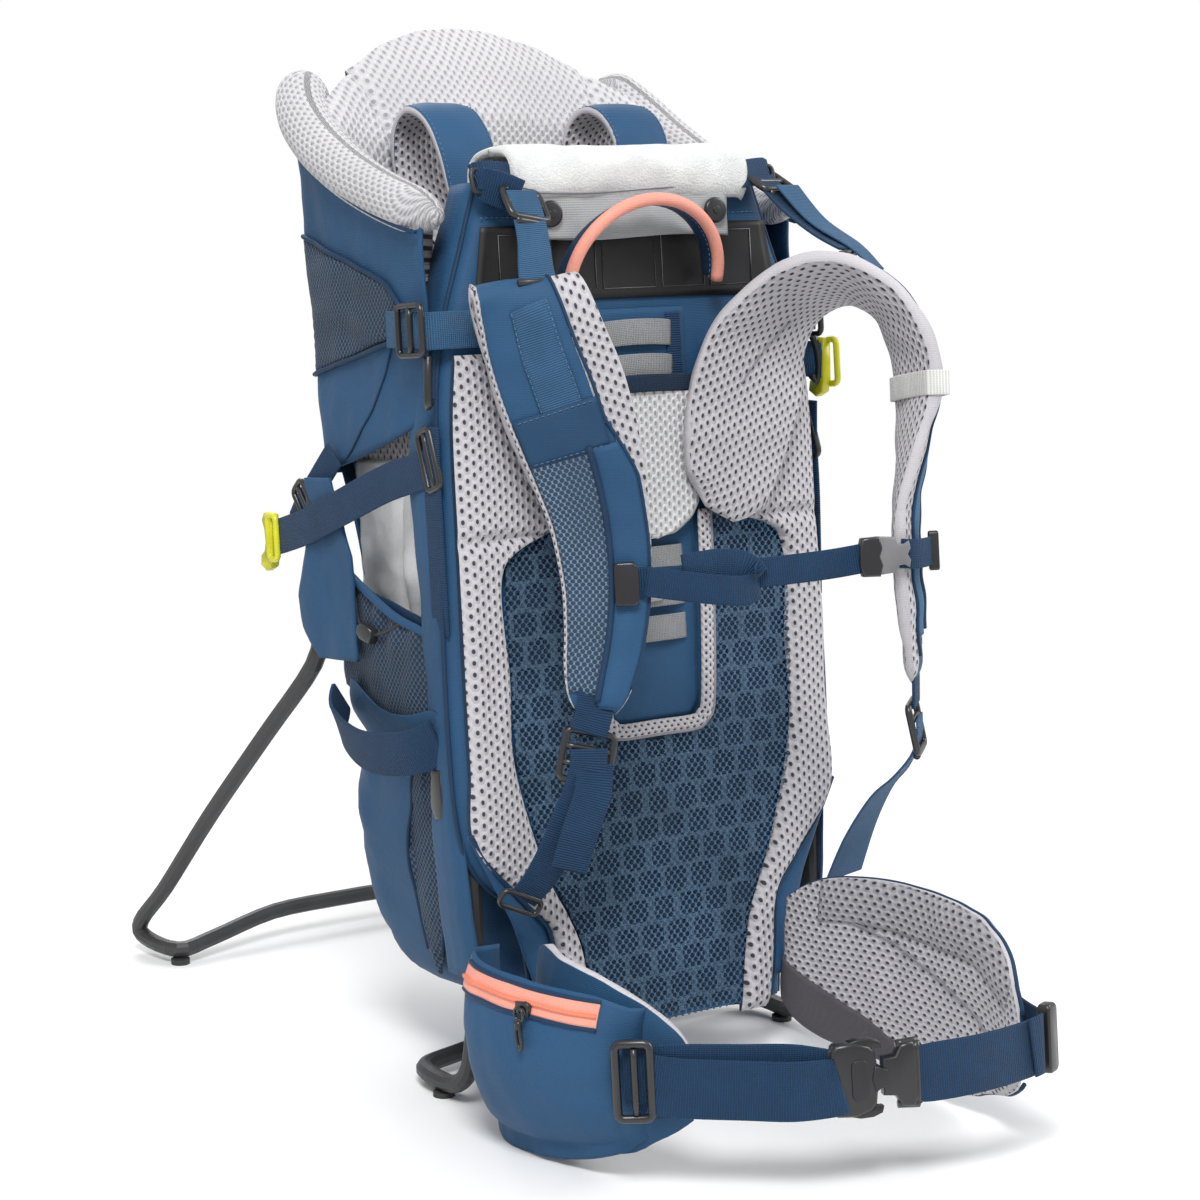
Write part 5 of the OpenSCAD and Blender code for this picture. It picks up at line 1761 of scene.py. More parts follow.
def hip_webbing():
    """The wide belt webbing with its folded tails, sliders and keeper."""
    up = [[-150, -160, 60, 0, 0, 1, 38], [-138, -172, 60, 0, 0, 1, 38], [-122, -186, 60, 0, 0, 1, 38],
          [-92, -207, 58, 0, 0, 1, 38], [-66, -224, 56, 0, 0, 1, 38], [-46, -238, 53, 0, 0, 1, 34]]
    upper = web_strap("belt_web_left", up, m_web, thick=2.0)
    low = [[-141, -176, 55, 0, 0.05, 1, 38], [-126, -190, 52, 0, 0.05, 1, 38],
           [-96, -213, 49, 0, 0.05, 1, 38],
           [-72, -232, 47, 0, 0.05, 1, 38], [-50, -243, 47, 0, 0.05, 1, 37], [-44, -246, 48, 0, 0, 1, 36]]
    lower = web_strap("belt_tail_left", low, m_web, thick=2.0)
    rows = [[2, -259, 49, 0, 0, 1, 34], [14, -264, 49, 0, 0, 1, 38], [48, -273, 50, 0, 0, 1, 38],
            [84, -273, 51, 0, 0, 1, 38],
            [104, -269, 52, 0, 0, 1, 38], [116, -262, 53, 0, 0, 1, 38]]
    right = web_strap("belt_web_right", rows, m_web, thick=2.0)
    back = [[106, -266, 52, 0, 0, 1, 38], [114, -258, 52, 0, 0, 1, 38], [119, -240, 54, 0, 0, 1, 38],
            [126, -214, 58, 0, 0, 1, 38], [131, -186, 62, 0, 0, 1, 38]]
    turned_back = web_strap("belt_web_fold", back, m_web, thick=2.0)
    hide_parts("hip_webbing")
    slider = loop_buckle("belt_slider", [-149, -169, 57], [0.75, -0.66, 0], [0, 0, 1], 22, 48, 1,
                         m_gloss, r=3.0,
                         lip=False)
    bar = tube("belt_slider_bar", evenly([[-149, -170.5, 36], [-149, -170.5, 78]], 8), 2.4, m_gloss,
               sides=10)
    keeper = block("belt_keeper", [112, -267.5, 54], [0.9, 0.4, 0], [0, 0, 1],
                   rounded_outline(13, 46, 3.5), 9, m_gloss,
                   soft=2.2)
    keeper_web = web_strap("keeper_web", [[103, -272.5, 53, 0, 0, 1, 39], [99, -275.5, 53, 0, 0, 1, 39],
                                          [90, -276.0, 52, 0, 0, 1, 39]], m_web, thick=1.8)
    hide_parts("belt_sliders")


hip_webbing()


def hip_buckle():
    """The side-release hip buckle: a socket, a pronged plug and the webbing bars."""
    at = np.array([-19, -249, 50.0])
    x, z = unit([0.92, -0.39, 0]), np.array([0, 0, 1.0])
    socket = block("hip_socket", at - x * 9, x, z,
                   [[-18, -23], [-6, -24], [4, -21], [8, -17], [9, -9], [14, -5], [14, 5], [9, 9],
                    [8, 17], [4, 21], [-6, 24],
                    [-18, 23], [-21, 18], [-21, -18]], 13, m_gloss, soft=3.2, rings=5)
    plug = block("hip_plug", at + x * 12, x, z,
                 [[-8, -12], [0, -13], [4, -20], [12, -21], [14, -16], [14, 16], [12, 21], [4, 20],
                  [0, 13], [-8, 12]], 11,
                 m_gloss, soft=2.6, rings=5)
    ridge = block("hip_ridge", at - x * 12 + np.cross(x, z) * 6.6, x, z, rounded_outline(11, 26, 4),
                  2.0, m_black, soft=0.8)
    groove = block("hip_hook_plate", at + x * 1 + np.cross(x, z) * 6.4, x, z,
                   [[-3, -8], [5, -5], [7, 0], [5, 5], [-3, 8], [-5, 0]], 2.4, m_black, soft=0.8)
    bar = tube("hip_bar", evenly([at - x * 28 - z * 20, at - x * 28 + z * 20], 8), 3.0, m_gloss, sides=10)
    bar2 = tube("hip_bar_right", evenly([at + x * 27 - z * 20, at + x * 27 + z * 20], 8), 3.0,
                m_gloss, sides=10)
    ends = []
    for end in (-1, 1):
        for up in (-1, 1):
            a = at + x * (28 if end > 0 else -29) + z * up * 20
            b = at + x * (14 if end > 0 else -14) + z * up * 19
            ends.append(tube("hip_arm", evenly([a, b], 5), 3.0, m_gloss, sides=10))
    frame_part = joined("hip_frame", [bar, bar2, *ends])
    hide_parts("hip_buckle")
    for body, node, s in (("upper_prong", "hip_prong_upper", 1), ("lower_prong", "hip_prong_lower", -1)):
        prong = block(node + "_tab", at - x * 8 + z * s * 22.2, x, z * s,
                      [[-11, -3.5], [-10, 1.6], [-4, 3.2], [5, 3.0], [11, 0.5], [12, -3.5]], 8.5,
                      m_black, body, soft=1.6)
        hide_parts(node)


hip_buckle()


# ---- Cockpit, headrest and child harness ---------------------------------------------------
COLLAR = [[147, 4, 608], [150, 30, 614], [152, 70, 628], [153, 110, 646], [152, 145, 666],
          [148, 172, 686], [138, 192, 704], [124, 202, 716]]


def cockpit_outline(z):
    """Half of the cockpit's plan at a height, from the front to the middle of the back."""
    t = (z - 440) / 230
    back = 186 + 14 * t
    out = 156 + 2 * math.sin(math.pi * min(max(t, 0), 1))
    return smooth(np.array([[out - 3, 14, 0], [out, 60, 0], [out, 110, 0], [out - 2, 150, 0],
                            [out - 7, back - 14, 0],
                            [out - 26, back - 2, 0], [out - 66, back + 2, 0], [60, back + 4, 0],
                            [0, back + 5, 0]]),
                  6.0)[:, :2]


def cockpit():
    """The cockpit's cloth wall: one sheet round the sides and the back, sagging a little."""
    levels = 34
    half_count = 60
    rows, uvs = [], []
    base = evenly(np.hstack([cockpit_outline(560), np.zeros((len(cockpit_outline(560)), 1))]), half_count)
    for k in range(levels):
        v = k / (levels - 1)
        line, uv = [], []
        for sign in (-1, 1):
            part, part_uv = [], []
            for i in range(half_count):
                share = i / (half_count - 1)
                y0 = base[i, 1]
                top = float(np.interp(y0, [14, 60, 110, 150, 180, 200], [604, 616, 634, 656, 676, 690]))
                if share > 0.75:
                    top = 690
                low = float(np.interp(y0, [14, 60, 100, 160, 200], [478, 462, 452, 440, 436]))
                z = top + (low - top) * v
                plan = cockpit_outline(z)
                plan = evenly(np.hstack([plan, np.zeros((len(plan), 1))]), half_count)
                x, y = plan[i, 0], plan[i, 1]
                sag = 0.0
                if share < 0.7:
                    spread = math.sin(math.pi * min(1, share * 1.4))
                    sag = 5.0 * math.sin(math.pi * v) * spread
                fold = 2.2 * ripple(y / 40, z / 46, sign * 2.0) + 1.1 * noise.noise(
                    Vector((y / 17, z / 21, sign * 5.0)))
                part.append([sign * (x + (fold - sag) * (1 if share < 0.7 else 0.2)),
                             y + (fold if share >= 0.6 else 0), z])
                part_uv.append([sign * (i * 6.5 - half_count * 6.5), z])
            if sign > 0:
                part, part_uv = part[::-1][1:], part_uv[::-1][1:]
            line += part
            uv += part_uv
        rows.append(line)
        uvs.append(uv)
    wall = grid("cockpit_wall", rows, m_blue, uvs, thick=2.2, outward=None)
    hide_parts("cockpit_shell")
    return np.array(rows)


WALL = cockpit()
LEFT_WALL = WALL[:, :60]


def wall_point(y, z, sign=-1, lift=0.0):
    """The side wall's outer surface at a y and a height."""
    ys = LEFT_WALL[:, :, 1].ravel()
    zs = LEFT_WALL[:, :, 2].ravel()
    xs = LEFT_WALL[:, :, 0].ravel()
    near = np.argsort((ys - y) ** 2 + (zs - z) ** 2)[:4]
    weight = 1.0 / (1.0 + (ys[near] - y) ** 2 + (zs[near] - z) ** 2)
    x = float(np.sum(xs[near] * weight) / np.sum(weight))
    return np.array([-sign * (x - lift), y, z]) if sign > 0 else np.array([x - lift, y, z])


def side_windows():
    """The net pockets on the cockpit's sides, gathered by an elastic edge, and the pleat line."""

    def build(sign, part):
        def place(u, v):
            y = 178 + (38 - 178) * u
            top = float(np.interp(y, [38, 60, 100, 178], [548, 566, 580, 606]))
            low = float(np.interp(y, [38, 178], [534, 508]))
            z = top + (low - top) * v
            puffed = 3.0 * math.sin(math.pi * u) ** 0.6 * math.sin(math.pi * v) ** 0.6
            wave = 1.2 * math.sin(z / 5.0 + 2.0 * math.sin(y / 30.0)) * math.sin(math.pi * u)
            return wall_point(y, z, sign, 2.4 + puffed + wave), [y, z]

        rows, uvs = sampled(np.linspace(0, 1, 40), np.linspace(0, 1, 30), place)
        return grid("window_net_" + part, rows, m_net, uvs, thick=0.8, outward=(sign, 0, 0))

    for obj in both_sides(build):
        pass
    for sign, part in SIDES:
        loop = [(178, 606), (140, 594), (100, 581), (66, 569), (46, 556), (38, 544), (40, 534),
                (60, 527), (100, 520), (140, 514),
                (178, 508)]
        curve = smooth([[y, z, 0] for y, z in loop], 4)
        line = np.array([wall_point(y, z, sign, 3.4) for y, z, _ in curve])
        roll = tube("window_edge_" + part, line, 1.7, m_blue_dark, sides=8)
        pleat = [(60, 524), (74, 500), (96, 476), (120, 456), (138, 444)]
        curve = smooth([[y, z, 0] for y, z in pleat], 4)
        line = np.array([wall_point(y, z, sign, 1.6) for y, z, _ in curve])
        seam = tube("wall_pleat_" + part, line, 0.9, m_blue_dark, sides=6)


side_windows()


def collar():
    """The padded mesh collar along the cockpit's top edge, rising to the headrest."""

    def build(sign, part):
        line = smooth(flipped(COLLAR, sign), 4.0)
        far = lengths(line)
        r = 16.0 + 3.5 * np.clip(far / far[-1], 0, 1)
        near = np.minimum(far, 1.6 * (far[-1] - far))
        r *= np.sqrt(np.clip(1 - (1 - np.clip(near / 34, 0, 1)) ** 2, 0.1, 1))
        roll = tube("collar_" + part, line, r, m_mesh_light, sides=26)
        low = line + np.array([sign * 12.5, 0, -11.0])
        seam = tube("collar_seam_" + part, low[3:], 1.4, m_blue_dark, sides=8)
        return roll

    made = both_sides(build)
    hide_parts("cockpit_collar")


collar()


def headrest():
    """The child's headrest: a padded dome with side wings folded in along seams."""
    rows, uvs = [], []
    count = 90
    for v in np.linspace(0, 1, 60):
        line, uv = [], []
        for u in np.linspace(-1, 1, count):
            x = u * (138 - 4 * v)
            crest = float(np.interp(abs(u), [0, 0.2, 0.47, 0.78, 0.92, 1],
                                    [751, 749, 738, 713, 700, 690]))
            z = crest + (560 - crest) * v
            curl = 1 - abs(u) ** 2.4
            y = 158 + 34 * curl - 8 * math.sin(math.pi * v)
            y = y + 12 * (1 - v) * curl - 26 * min(1.0, 3 * v) * curl
            over = max(0.0, 1 - v / 0.16)
            seam = math.exp(-(((abs(u) - 0.72 + 0.16 * v) / 0.028) ** 2)) * (1 - v * 0.4)
            y += 9.0 * over * over + 6.5 * seam + 1.8 * ripple(u * 4, v * 4, 1)
            line.append([x, y, z])
            uv.append([x, z])
        rows.append(line)
        uvs.append(uv)
    pad = grid("headrest_pad", rows, m_mesh_light, uvs, thick=17.0, rim=m_mesh_light, outward=(0, -1, 0))
    round_off = pad.modifiers.new("round", "BEVEL")
    round_off.width = 0.007
    round_off.segments = 4
    round_off.limit_method = "ANGLE"
    round_off.angle_limit = math.radians(60)
    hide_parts("headrest")


headrest()


def wings():
    """The inner side pads of the cockpit, from the collar down to the seat."""

    def build(sign, part):
        def place(u, v):
            y = 40 + 122 * u
            top = float(np.interp(y, [40, 100, 162], [606, 634, 676]))
            z = top + (430 - top) * v
            x = 134 + 4 * math.sin(math.pi * v) - 8 * u * u + 2 * ripple(u * 4, v * 4, sign)
            return [sign * x, y, z], [y, z]

        rows, uvs = sampled(np.linspace(0, 1, 30), np.linspace(0, 1, 26), place)
        # Painted shade: the inner pads use the darker copy of the grey mesh.
        return grid("cockpit_lining_" + part, rows, m_mesh_shade, uvs, thick=9.0, outward=(-sign, 0, 0))

    for obj in both_sides(build):
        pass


wings()
CHILD_STRAP = [
    [70, 124, 596, 1, 0, 0, 42, 10], [72, 142, 640, 1, 0, 0, 45, 10], [74, 138, 676, 1, 0, 0, 47, 11],
    [76, 112, 688, 1, 0, 0, 48, 11], [76, 84, 668, 1, 0, 0, 46, 11], [72, 70, 612, 1, 0, 0, 43, 10],
    [62, 66, 540, 1, 0, 0, 36, 9], [40, 72, 480, 1, 0, 0, 27, 6],
]


def child_harness():
    """The child's two padded straps, arched over, with the crotch strap and buckle."""
    first = None
    for sign, part in SIDES:
        rows = flipped(CHILD_STRAP, sign)
        pad = Pad(rows, edge=0.4, power=2.8, wrinkle=1.2, seed=sign + 4.0)
        up = pad.frame(pad.length * 0.45)[2]
        outer_front = up[2] > 0
        front, lining = (m_blue, m_mesh) if outer_front else (m_mesh, m_blue)
        body = pad.skin("child_strap_" + part, front, lining, lambda t: (-0.97, 0.97))
        first = first or body
        face = 1 if outer_front else -1
        for a in (-0.92, 0.92):
            row = stitches("child_strap_stitch_" + part, pad.line(a, 20, pad.length - 30, 0.4, face),
                           m_thread)
    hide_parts("child_harness")
    crotch = web_strap("crotch_web",
                       [[0, 77, 452, 1, 0, 0, 30], [0, 75, 430, 1, 0, 0, 30], [0, 71, 400, 1, 0, 0, 30],
                                      [0, 66, 386, 1, 0, 0, 30]], m_web, thick=2.0)
    shell = block("child_buckle", [0, 76, 462], [1, 0, 0], [0, 0, 1],
                  [[-20, 16], [-12, 20], [12, 20], [20, 16], [22, 6], [14, -16], [8, -20], [-8, -20],
                   [-14, -16], [-22, 6]],
                  12, m_gloss, soft=3.0, rings=5)
    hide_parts("harness_buckle")
    circle = circle_outline(8.6, 32)
    button = block("child_button", [0, 69.8, 462], [1, 0, 0], [0, 0, 1], circle, 4.2, m_red,
                   "press_button", soft=1.2)
    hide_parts("harness_button")


child_harness()


def cushion(name, node, box_low, box_high, mat, channels=(), round_r=10.0):
    """A stuffed cushion filling a box: crowned, with sewn channels across."""
    lo, hi = np.array(box_low, float), np.array(box_high, float)
    size = hi - lo
    thin = int(np.argmin(size))
    p, q = [k for k in range(3) if k != thin]
    nu, nv = 44, 44
    rings, uvs = [], []
    half_t = size[thin] / 2
    mid = (lo + hi) / 2
    for v in np.linspace(0, 1, nv):
        ring_top, ring_low, uv = [], [], []
        for u in np.linspace(0, 1, nu):
            e = min(u, 1 - u) * size[p], min(v, 1 - v) * size[q]
            near = min(e)
            high = math.sqrt(max(0.02, 1 - (1 - min(1.0, near / round_r)) ** 2))
            groove = sum(math.exp(-(((v - c) * size[q] / 4.0) ** 2)) for c in channels)
            bump = 1 - 0.45 * min(1.0, groove)
            wave = 1 + 0.12 * ripple(u * 5, v * 5, half_t)
            at = mid.copy()
            at[p] = lo[p] + u * size[p]
            at[q] = lo[q] + v * size[q]
            top, low = at.copy(), at.copy()
            top[thin] += half_t * high * bump * wave
            low[thin] -= half_t * high * bump * wave
            ring_top.append(top)
            ring_low.append(low)
            uv.append([at[p], at[q]])
        rings.append(ring_top + ring_low[::-1])
        uvs.append(uv + uv[::-1])
    rings = np.array(rings)
    obj = skin(name, pack(rings.reshape(-1, 3)).reshape(rings.shape), np.array(uvs) * MM, "pack", [mat])
    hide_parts(node)
    return obj


cushion("child_back_cushion", "child_back_pad", (-92, 136, 404), (92, 150, 580), m_mesh,
        channels=(0.3, 0.62))
cushion("seat_cushion", "seat_pad", (-92, 34, 368), (92, 150, 390), m_lining,
        channels=(0.35, 0.7))


# ---- Seat lining, side pockets, straps and lower bag ----------------------------------------
def seat_lining():
    """The puffy white lining seen in the leg openings, with an upright crease."""

    def build(sign, part):
        def place(u, v):
            y = 20 + 136 * u
            z = 446 - v * (446 - float(np.interp(y, [20, 80, 156], [316, 330, 352])))
            crease = math.exp(-(((y - 84 - 14 * v) / 5.0) ** 2))
            across, down = math.pi * min(1, 0.1 + u * 0.9), math.pi * min(1, 0.15 + v * 0.8)
            puff = 9.0 * math.sin(across) ** 0.7 * math.sin(down) ** 0.6
            wave = 3.0 * ripple(y / 30, z / 26, sign * 3.0) + 1.2 * ripple(y / 11, z / 12, 9.0)
            return [sign * (129 + puff - 6.5 * crease + wave), y, z], [y, z]

        rows, uvs = sampled(np.linspace(0, 1, 40), np.linspace(0, 1, 34), place)
        pad = grid("seat_lining_" + part, rows, m_lining, uvs, thick=8.0, outward=(sign, 0, 0))
        return pad

    made = both_sides(build)
    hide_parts("seat_sides")


seat_lining()


def side_pockets():
    """The net side pockets under the leg openings, with a drawn edge, cord and toggle."""

    def build(sign, part):
        def place(u, v):
            y = 16 + 140 * u
            top = float(np.interp(y, [16, 40, 70, 110, 156], [320, 330, 340, 358, 378]))
            low = float(np.interp(y, [16, 60, 110, 156], [254, 250, 262, 288]))
            z = top + (low - top) * v
            hang = math.pi * min(1.0, 0.25 + v * 0.75)
            belly = 11.0 * math.sin(math.pi * u) ** 0.7 * math.sin(hang) ** 0.8
            gather = 1.6 * math.sin(y / 3.4 + 2 * ripple(y / 30, 1, 1)) * max(0.0, 1 - v * 2.2)
            wave = 2.4 * ripple(y / 22, z / 24, sign * 6.0)
            return [sign * (152 + belly + gather + wave), y, z], [y, z]

        rows, uvs = sampled(np.linspace(0, 1, 44), np.linspace(0, 1, 34), place)
        return grid("side_pocket_" + part, rows, m_net, uvs, thick=1.0, outward=(sign, 0, 0))

    made = both_sides(build)
    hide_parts("side_pockets")
    for sign, part in SIDES:
        line = smooth([[sign * 153, 14, 320], [sign * 157, 40, 331], [sign * 161, 70, 341],
                       [sign * 161, 110, 359],
                       [sign * 157, 158, 380]], 4.0)
        hem = tube("pocket_hem_" + part, line, 3.0, m_blue, sides=12)
        back = []
        for v in np.linspace(0, 1, 16):
            back.append([[sign * (149 + 2 * ripple(y / 25, v * 3, 4.0)), y,
                          330 + (250 - 330) * v + 0.25 * (y - 16)] for y in np.linspace(14, 160, 24)])
        lining = grid("pocket_back_" + part, back, m_blue_dark,
                      [[[p[1], p[2]] for p in r] for r in back], thick=1.4,
                      outward=(sign, 0, 0))
        cord = smooth([[sign * 159, 60, 338], [sign * 165, 78, 330], [sign * 166, 98, 328],
                       [sign * 165, 112, 338],
                       [sign * 160, 122, 352]], 2.0)
        string = tube("pocket_cord_" + part, cord, 1.3, m_black, sides=8)
        toggle = block("pocket_toggle_" + part, [sign * 167, 98, 329], [0, 1, 0.3], [0, -0.3, 1],
                       [[-9, -5], [4, -6], [9, -3], [9, 3], [4, 6], [-9, 5]], 8, m_gloss, soft=2.0)
        flap = strip("pocket_flap_" + part,
                     [[sign * 158, 18, 262, 0.2 * sign, 0, 1, 40, 3],
                      [sign * 160, 60, 256, 0.2 * sign, 0, 1, 36, 3],
                      [sign * 160, 100, 262, 0.2 * sign, 0, 1, 34, 3],
                      [sign * 158, 140, 284, 0.2 * sign, 0, 1, 30, 3]],
                     m_blue, wrinkle=3.0, half=12)


side_pockets()


def stirrups():
    """The foot stirrups: webbing slings under the side pockets."""

    def build(sign, part):
        rows = [[160, 22, 258, 0.3, 0, 1, 32], [174, 44, 250, 0.3, 0, 1, 32],
                [183, 84, 250, 0.3, 0, 1, 32],
                [181, 120, 264, 0.3, 0, 1, 30], [168, 138, 282, 0.3, 0, 1, 28]]
        sling = web_strap("stirrup_" + part, flipped(rows, sign), m_web, thick=3.0)
        return sling

    made = both_sides(build)
    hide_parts("foot_stirrups")


stirrups()


def side_compression():
    """The side straps from the panel to the cockpit wall, with two-bar sliders and a hook below."""

    def build(sign, part):
        rows = [[118, -4.6, 533, 0, 0, 1, 25], [146, -5.2, 533, 0, 0, 1, 25],
                [160, -3.0, 533, 0, 0, 1, 25],
                [164.5, 4, 533, 0, 0, 1, 25],
                [166, 16, 534, 0, 0, 1, 25], [164, 34, 535, 0, 0, 1, 25], [161, 56, 536, 0, 0, 1, 25]]
        strap = web_strap("side_strap_" + part, flipped(rows, sign), m_web_light, thick=1.8)
        return strap

    made = both_sides(build)
    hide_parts("side_straps")
    first = None
    for sign, part in SIDES:
        slider = loop_buckle("side_slider_" + part, [sign * 168.5, 14, 534], [0, sign * -1.0, 0],
                             [0, 0, 1], 30, 33, 1,
                             m_gloss, r=2.2, lip=False)
        bar = tube("side_slider_bar_" + part,
                   evenly([[sign * 168.5, 14, 519], [sign * 168.5, 14, 549]], 6), 2.2, m_gloss,
                   sides=10)
        first = first or slider
        hook = tube("side_hook_" + part,
                    smooth([[sign * 163, 2, 516], [sign * 165, 0, 506], [sign * 166, 0, 492],
                                                 [sign * 165, 2, 484], [sign * 162, 4, 488]], 2.0),
                                                 3.0, m_gloss, sides=10)
    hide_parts("side_sliders")


side_compression()


def entry_straps():
    """The side entry straps: blue webbing across the leg opening to the yellow hooks."""

    def build(sign, part):
        rows = [[160, 14, 442, 0, 0, 1, 26], [165, 60, 433, 0, 0, 1, 26], [172, 110, 417, 0, 0, 1, 26],
                [172, 160, 403, 0, 0, 1, 26], [166, 206, 395, 0, 0, 1, 26], [161, 230, 392, 0, 0, 1, 26]]
        if sign > 0:
            rows = [[158, 16, 503, 0, 0, 1, 26], [162, 10, 500, 0, 0, 1, 26], [166, -4, 498, 0, 0, 1, 26]]
        strap = web_strap("entry_strap_" + part, flipped(rows, sign),
                          m_web_light if sign > 0 else m_web, thick=1.8)
        return strap

    made = both_sides(build)
    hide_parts("entry_straps")
    for sign, part in SIDES:
        lock = loop_buckle("leg_lock_" + part, [sign * 161, 12, 448], [0, 0.3, 1], [0, 1, -0.3], 40,
                           16, 2, m_gloss,
                           r=2.4, lip=False)
        down = web_strap("leg_web_" + part,
                         flipped([[160.5, 8, 470, 0, 1, 0, 20], [160.5, 10, 440, 0, 1, 0, 20],
                                                     [160.5, 10, 400, 0, 1, 0, 20],
                                                     [159.5, 12, 330, 0, 1, 0, 20]], sign),
                         m_web, thick=1.8)
        body = part + "_clip"
        at = np.array([-162.0, 236.0, 392.0]) if sign < 0 else np.array([169.0, 0.0, 497.0])
        shape = [[-6, 17], [4, 18], [7, 14], [4, 8], [3, -6], [6, -12], [12, -15], [13, -21],
                 [6, -25], [-2, -22], [-5, -14],
                 [-6, 0]]
        hook = block("entry_hook_" + part, at, [0, 1, 0], [0, 0, 1], shape, 7.5, m_yellow, body, soft=2.0)
        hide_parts("entry_clip_" + part)
        slot = loop_buckle("entry_slot_" + part, at + np.array([sign * 3.0, -7, 0]), [0, 0, 1],
                           [0, 1, 0], 32, 12, 1,
                           m_yellow, body, r=2.4, lip=False)
        upper = smooth(flipped([[160, 140, 452], [164, 160, 432], [166, 180, 414], [164, 196, 402]],
                               sign), 4.0)
        rows = [[*p, 0, 0.4, 1, 22] for p in upper]
        second = web_strap("entry_upper_" + part, rows, m_web, thick=1.8)
        ring = loop_buckle("entry_ring_" + part, [sign * 167, 176, 420], [0, 0.6, 0.8],
                           [0, 0.8, -0.6], 26, 16, 2, m_gloss,
                           r=2.2, lip=False)


entry_straps()


def hinge_covers():
    """The cloth covers over the stand's hinges, swollen over the knuckle."""

    def build(sign, part):
        def place(u, v):
            z = 436 - 128 * v
            front = float(np.interp(z, [306, 380, 436], [112, 112, 136]))
            rear = float(np.interp(z, [306, 328, 352, 392, 436], [162, 182, 184, 172, 170]))
            y = front + (rear - front) * u
            swell = 4.0 * math.exp(-(((y - 170) / 24) ** 2 + ((z - 348) / 24) ** 2))
            wave = 1.8 * ripple(y / 18, z / 20, sign * 11.0)
            return [sign * (167.4 + swell + 0.6 * wave), y, z], [y, z]

        rows, uvs = sampled(np.linspace(0, 1, 24), np.linspace(0, 1, 36), place)
        return grid("hinge_cover_" + part, rows, m_blue, uvs, thick=2.6, outward=(sign, 0, 0))

    made = both_sides(build)
    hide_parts("hinge_covers")


hinge_covers()


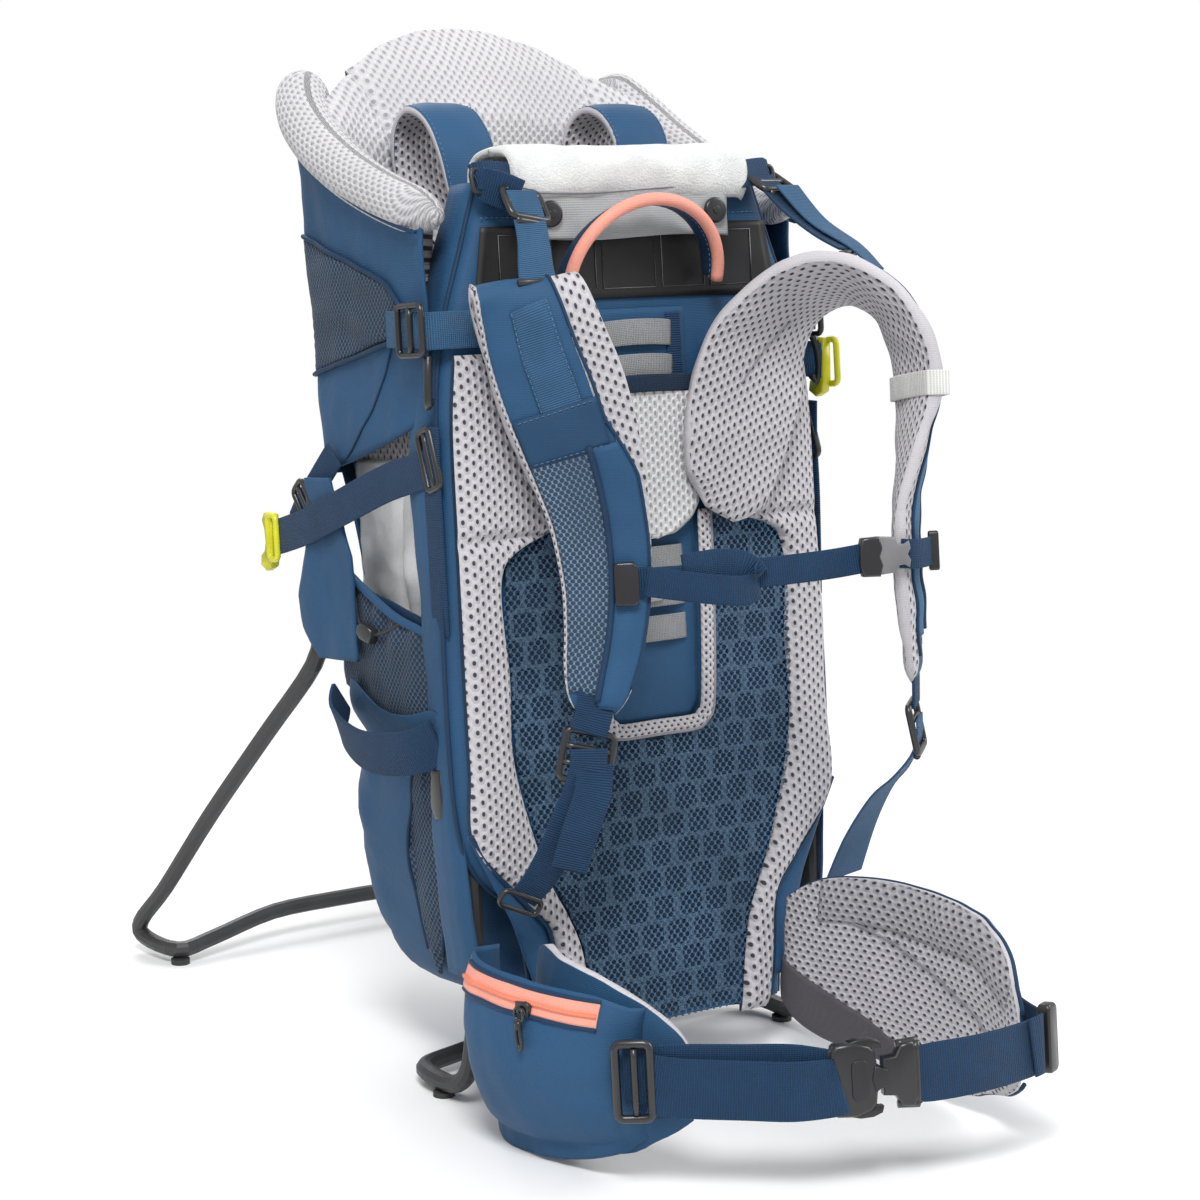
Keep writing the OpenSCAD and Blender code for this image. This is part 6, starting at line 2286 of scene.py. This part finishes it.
def lower_bag():
    """The lower bag: a sagging lofted shell between the frame and the stand, with net gussets."""
    levels = [[298, 34, 172, 118], [280, 28, 186, 127], [250, 26, 200, 131], [210, 26, 209, 132],
              [170, 28, 209, 131],
              [130, 32, 203, 129], [100, 38, 186, 125], [80, 46, 160, 119], [72, 62, 136, 108]]
    fine = smooth(np.array([[0, 0, z, a, b, h] for z, a, b, h in levels], float), 6.0)
    n = 96
    rings, uvs = [], []
    for k in range(len(fine)):
        z, y0, y1, half = fine[k, 2], fine[k, 3], fine[k, 4], fine[k, 5]
        cy, hy = (y0 + y1) / 2, (y1 - y0) / 2
        ring, uv = [], []
        for i in range(n):
            t = 2 * math.pi * i / n
            c, s = math.cos(t), math.sin(t)
            power = 2 / 5.0
            x = half * math.copysign(abs(c) ** power, c)
            y = cy + hy * math.copysign(abs(s) ** power, s)
            p = Vector((x / 48, y / 46, z / 52))
            fold = 5.0 * noise.noise(p) + 2.2 * noise.noise(p * 2.6) + 0.9 * noise.noise(p * 6.0)
            belly = 4.0 * math.sin(math.pi * k / (len(fine) - 1))
            out = unit([c * abs(c) ** 0.3 + 1e-6, s * abs(s) ** 0.3, 0])
            ring.append([x + out[0] * (fold + belly), y + out[1] * (fold + belly),
                         z + 1.5 * noise.noise(p * 1.4)])
            uv.append([math.atan2(s, c) * 130, z])
        rings.append(ring)
        uvs.append(np.array(uv) * MM)
    rings = np.array(rings)
    bag = skin("lower_bag_cloth", pack(rings.reshape(-1, 3)).reshape(rings.shape), uvs, "pack", [m_blue])
    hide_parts("lower_bag")
    cloth = rings.reshape(-1, 3)

    def surface(sign, y, z, lift):
        near = cloth[np.sign(cloth[:, 0]) == sign]
        d = (near[:, 1] - y) ** 2 + (near[:, 2] - z) ** 2
        best = near[np.argsort(d)[:5]]
        return np.array([float(np.abs(best[:, 0]).max()) * sign + sign * lift, y, z])

    def gusset(sign, part):
        def place(u, v):
            z = 288 - 204 * v
            wide = 22 * math.sin(math.pi * v) ** 0.8 + 1
            mid = 66 + 26 * v
            y = mid + u * wide
            return surface(sign, y, z, 1.6 + 2.2 * (1 - u * u)), [y, z]

        rows, uvs = sampled(np.linspace(-1, 1, 16), np.linspace(0, 1, 40), place)
        return grid("bag_gusset_" + part, rows, m_net, uvs, thick=1.0, outward=(sign, 0, 0))

    for obj in both_sides(gusset):
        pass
    for sign, part in SIDES:
        for edge in (-1, 1):
            line = []
            for v in np.linspace(0.02, 0.98, 30):
                z = 288 - 204 * v
                wide = 22 * math.sin(math.pi * v) ** 0.8 + 1
                line.append(surface(sign, 66 + 26 * v + edge * wide, z, 2.6))
            seam = tube(f"gusset_seam_{part}_{edge + 1}", smooth(np.array(line)[::3], 4.0), 1.5,
                        m_blue_dark, sides=8)
    pocket = []
    for z in np.linspace(250, 120, 24):
        line = []
        for x in np.linspace(-92, 92, 40):
            bulge = 5 * math.sin(math.pi * (x + 92) / 184)
            line.append([x, 213 + bulge + 2.0 * ripple(x / 30, z / 30, 3), z])
        pocket.append(line)
    back = grid("bag_back_pocket", pocket, m_net, [[[p[0], p[2]] for p in r] for r in pocket], thick=1.2,
                outward=(0, 1, 0))
    line = [[x, 215.5 + 5 * math.sin(math.pi * (x + 92) / 184), 251] for x in np.linspace(-93, 93, 30)]
    hem = tube("bag_pocket_hem", np.array(line), 2.4, m_blue_dark, sides=10)


lower_bag()


def under_cockpit():
    """The cloth that joins the cockpit's wall to the seat and the lower bag at the back."""

    def place(u, v):
        z = 444 - 160 * v
        half = 128 + 10 * (1 - v)
        y = 186 - 10 * v + 6 * (1 - abs(u) ** 3) - 12 * math.sin(math.pi * v)
        wave = 2.5 * ripple(u * 4, v * 4, 21.0)
        return [u * half, y - 40 * max(0.0, abs(u) - 0.86) / 0.14 * 0.4 + wave, z], [u * half, z]

    rows, uvs = sampled(np.linspace(-1, 1, 50), np.linspace(0, 1, 30), place)
    back = grid("seat_back_cloth", rows, m_blue, uvs, thick=2.0, outward=(0, 1, 0))


under_cockpit()


def right_tab():
    """The rounded cloth tab beside the panel on the right."""
    rows, uvs = [], []
    for v in np.linspace(0, 1, 22):
        z = 492 - 62 * v
        cut = math.sqrt(max(0.0, 1 - max(0.0, (v - 0.75) / 0.25) ** 2))
        line = [[162 + 2 * math.sin(math.pi * v) + ripple(u, v * 3, 2),
                 14 + 30 * u * (0.6 + 0.4 * cut), z]
                for u in np.linspace(0, 1, 14)]
        rows.append(line)
        uvs.append([[p[1], p[2]] for p in line])
    tab = grid("side_tab_right", rows, m_blue, uvs, thick=3.0, outward=(1, 0, 0))


right_tab()


def frame_hooks():
    """Small black hooks on the frame's left and right uprights."""
    for sign, part in SIDES:
        hook = block("frame_hook_" + part, [sign * 158, 27, 221], [0, 1, 0], [0, 0, 1],
                     [[-5, 18], [5, 18], [8, 6], [9, -8], [4, -17], [-4, -16], [-7, -4]], 8, m_gloss,
                     soft=2.4)


frame_hooks()
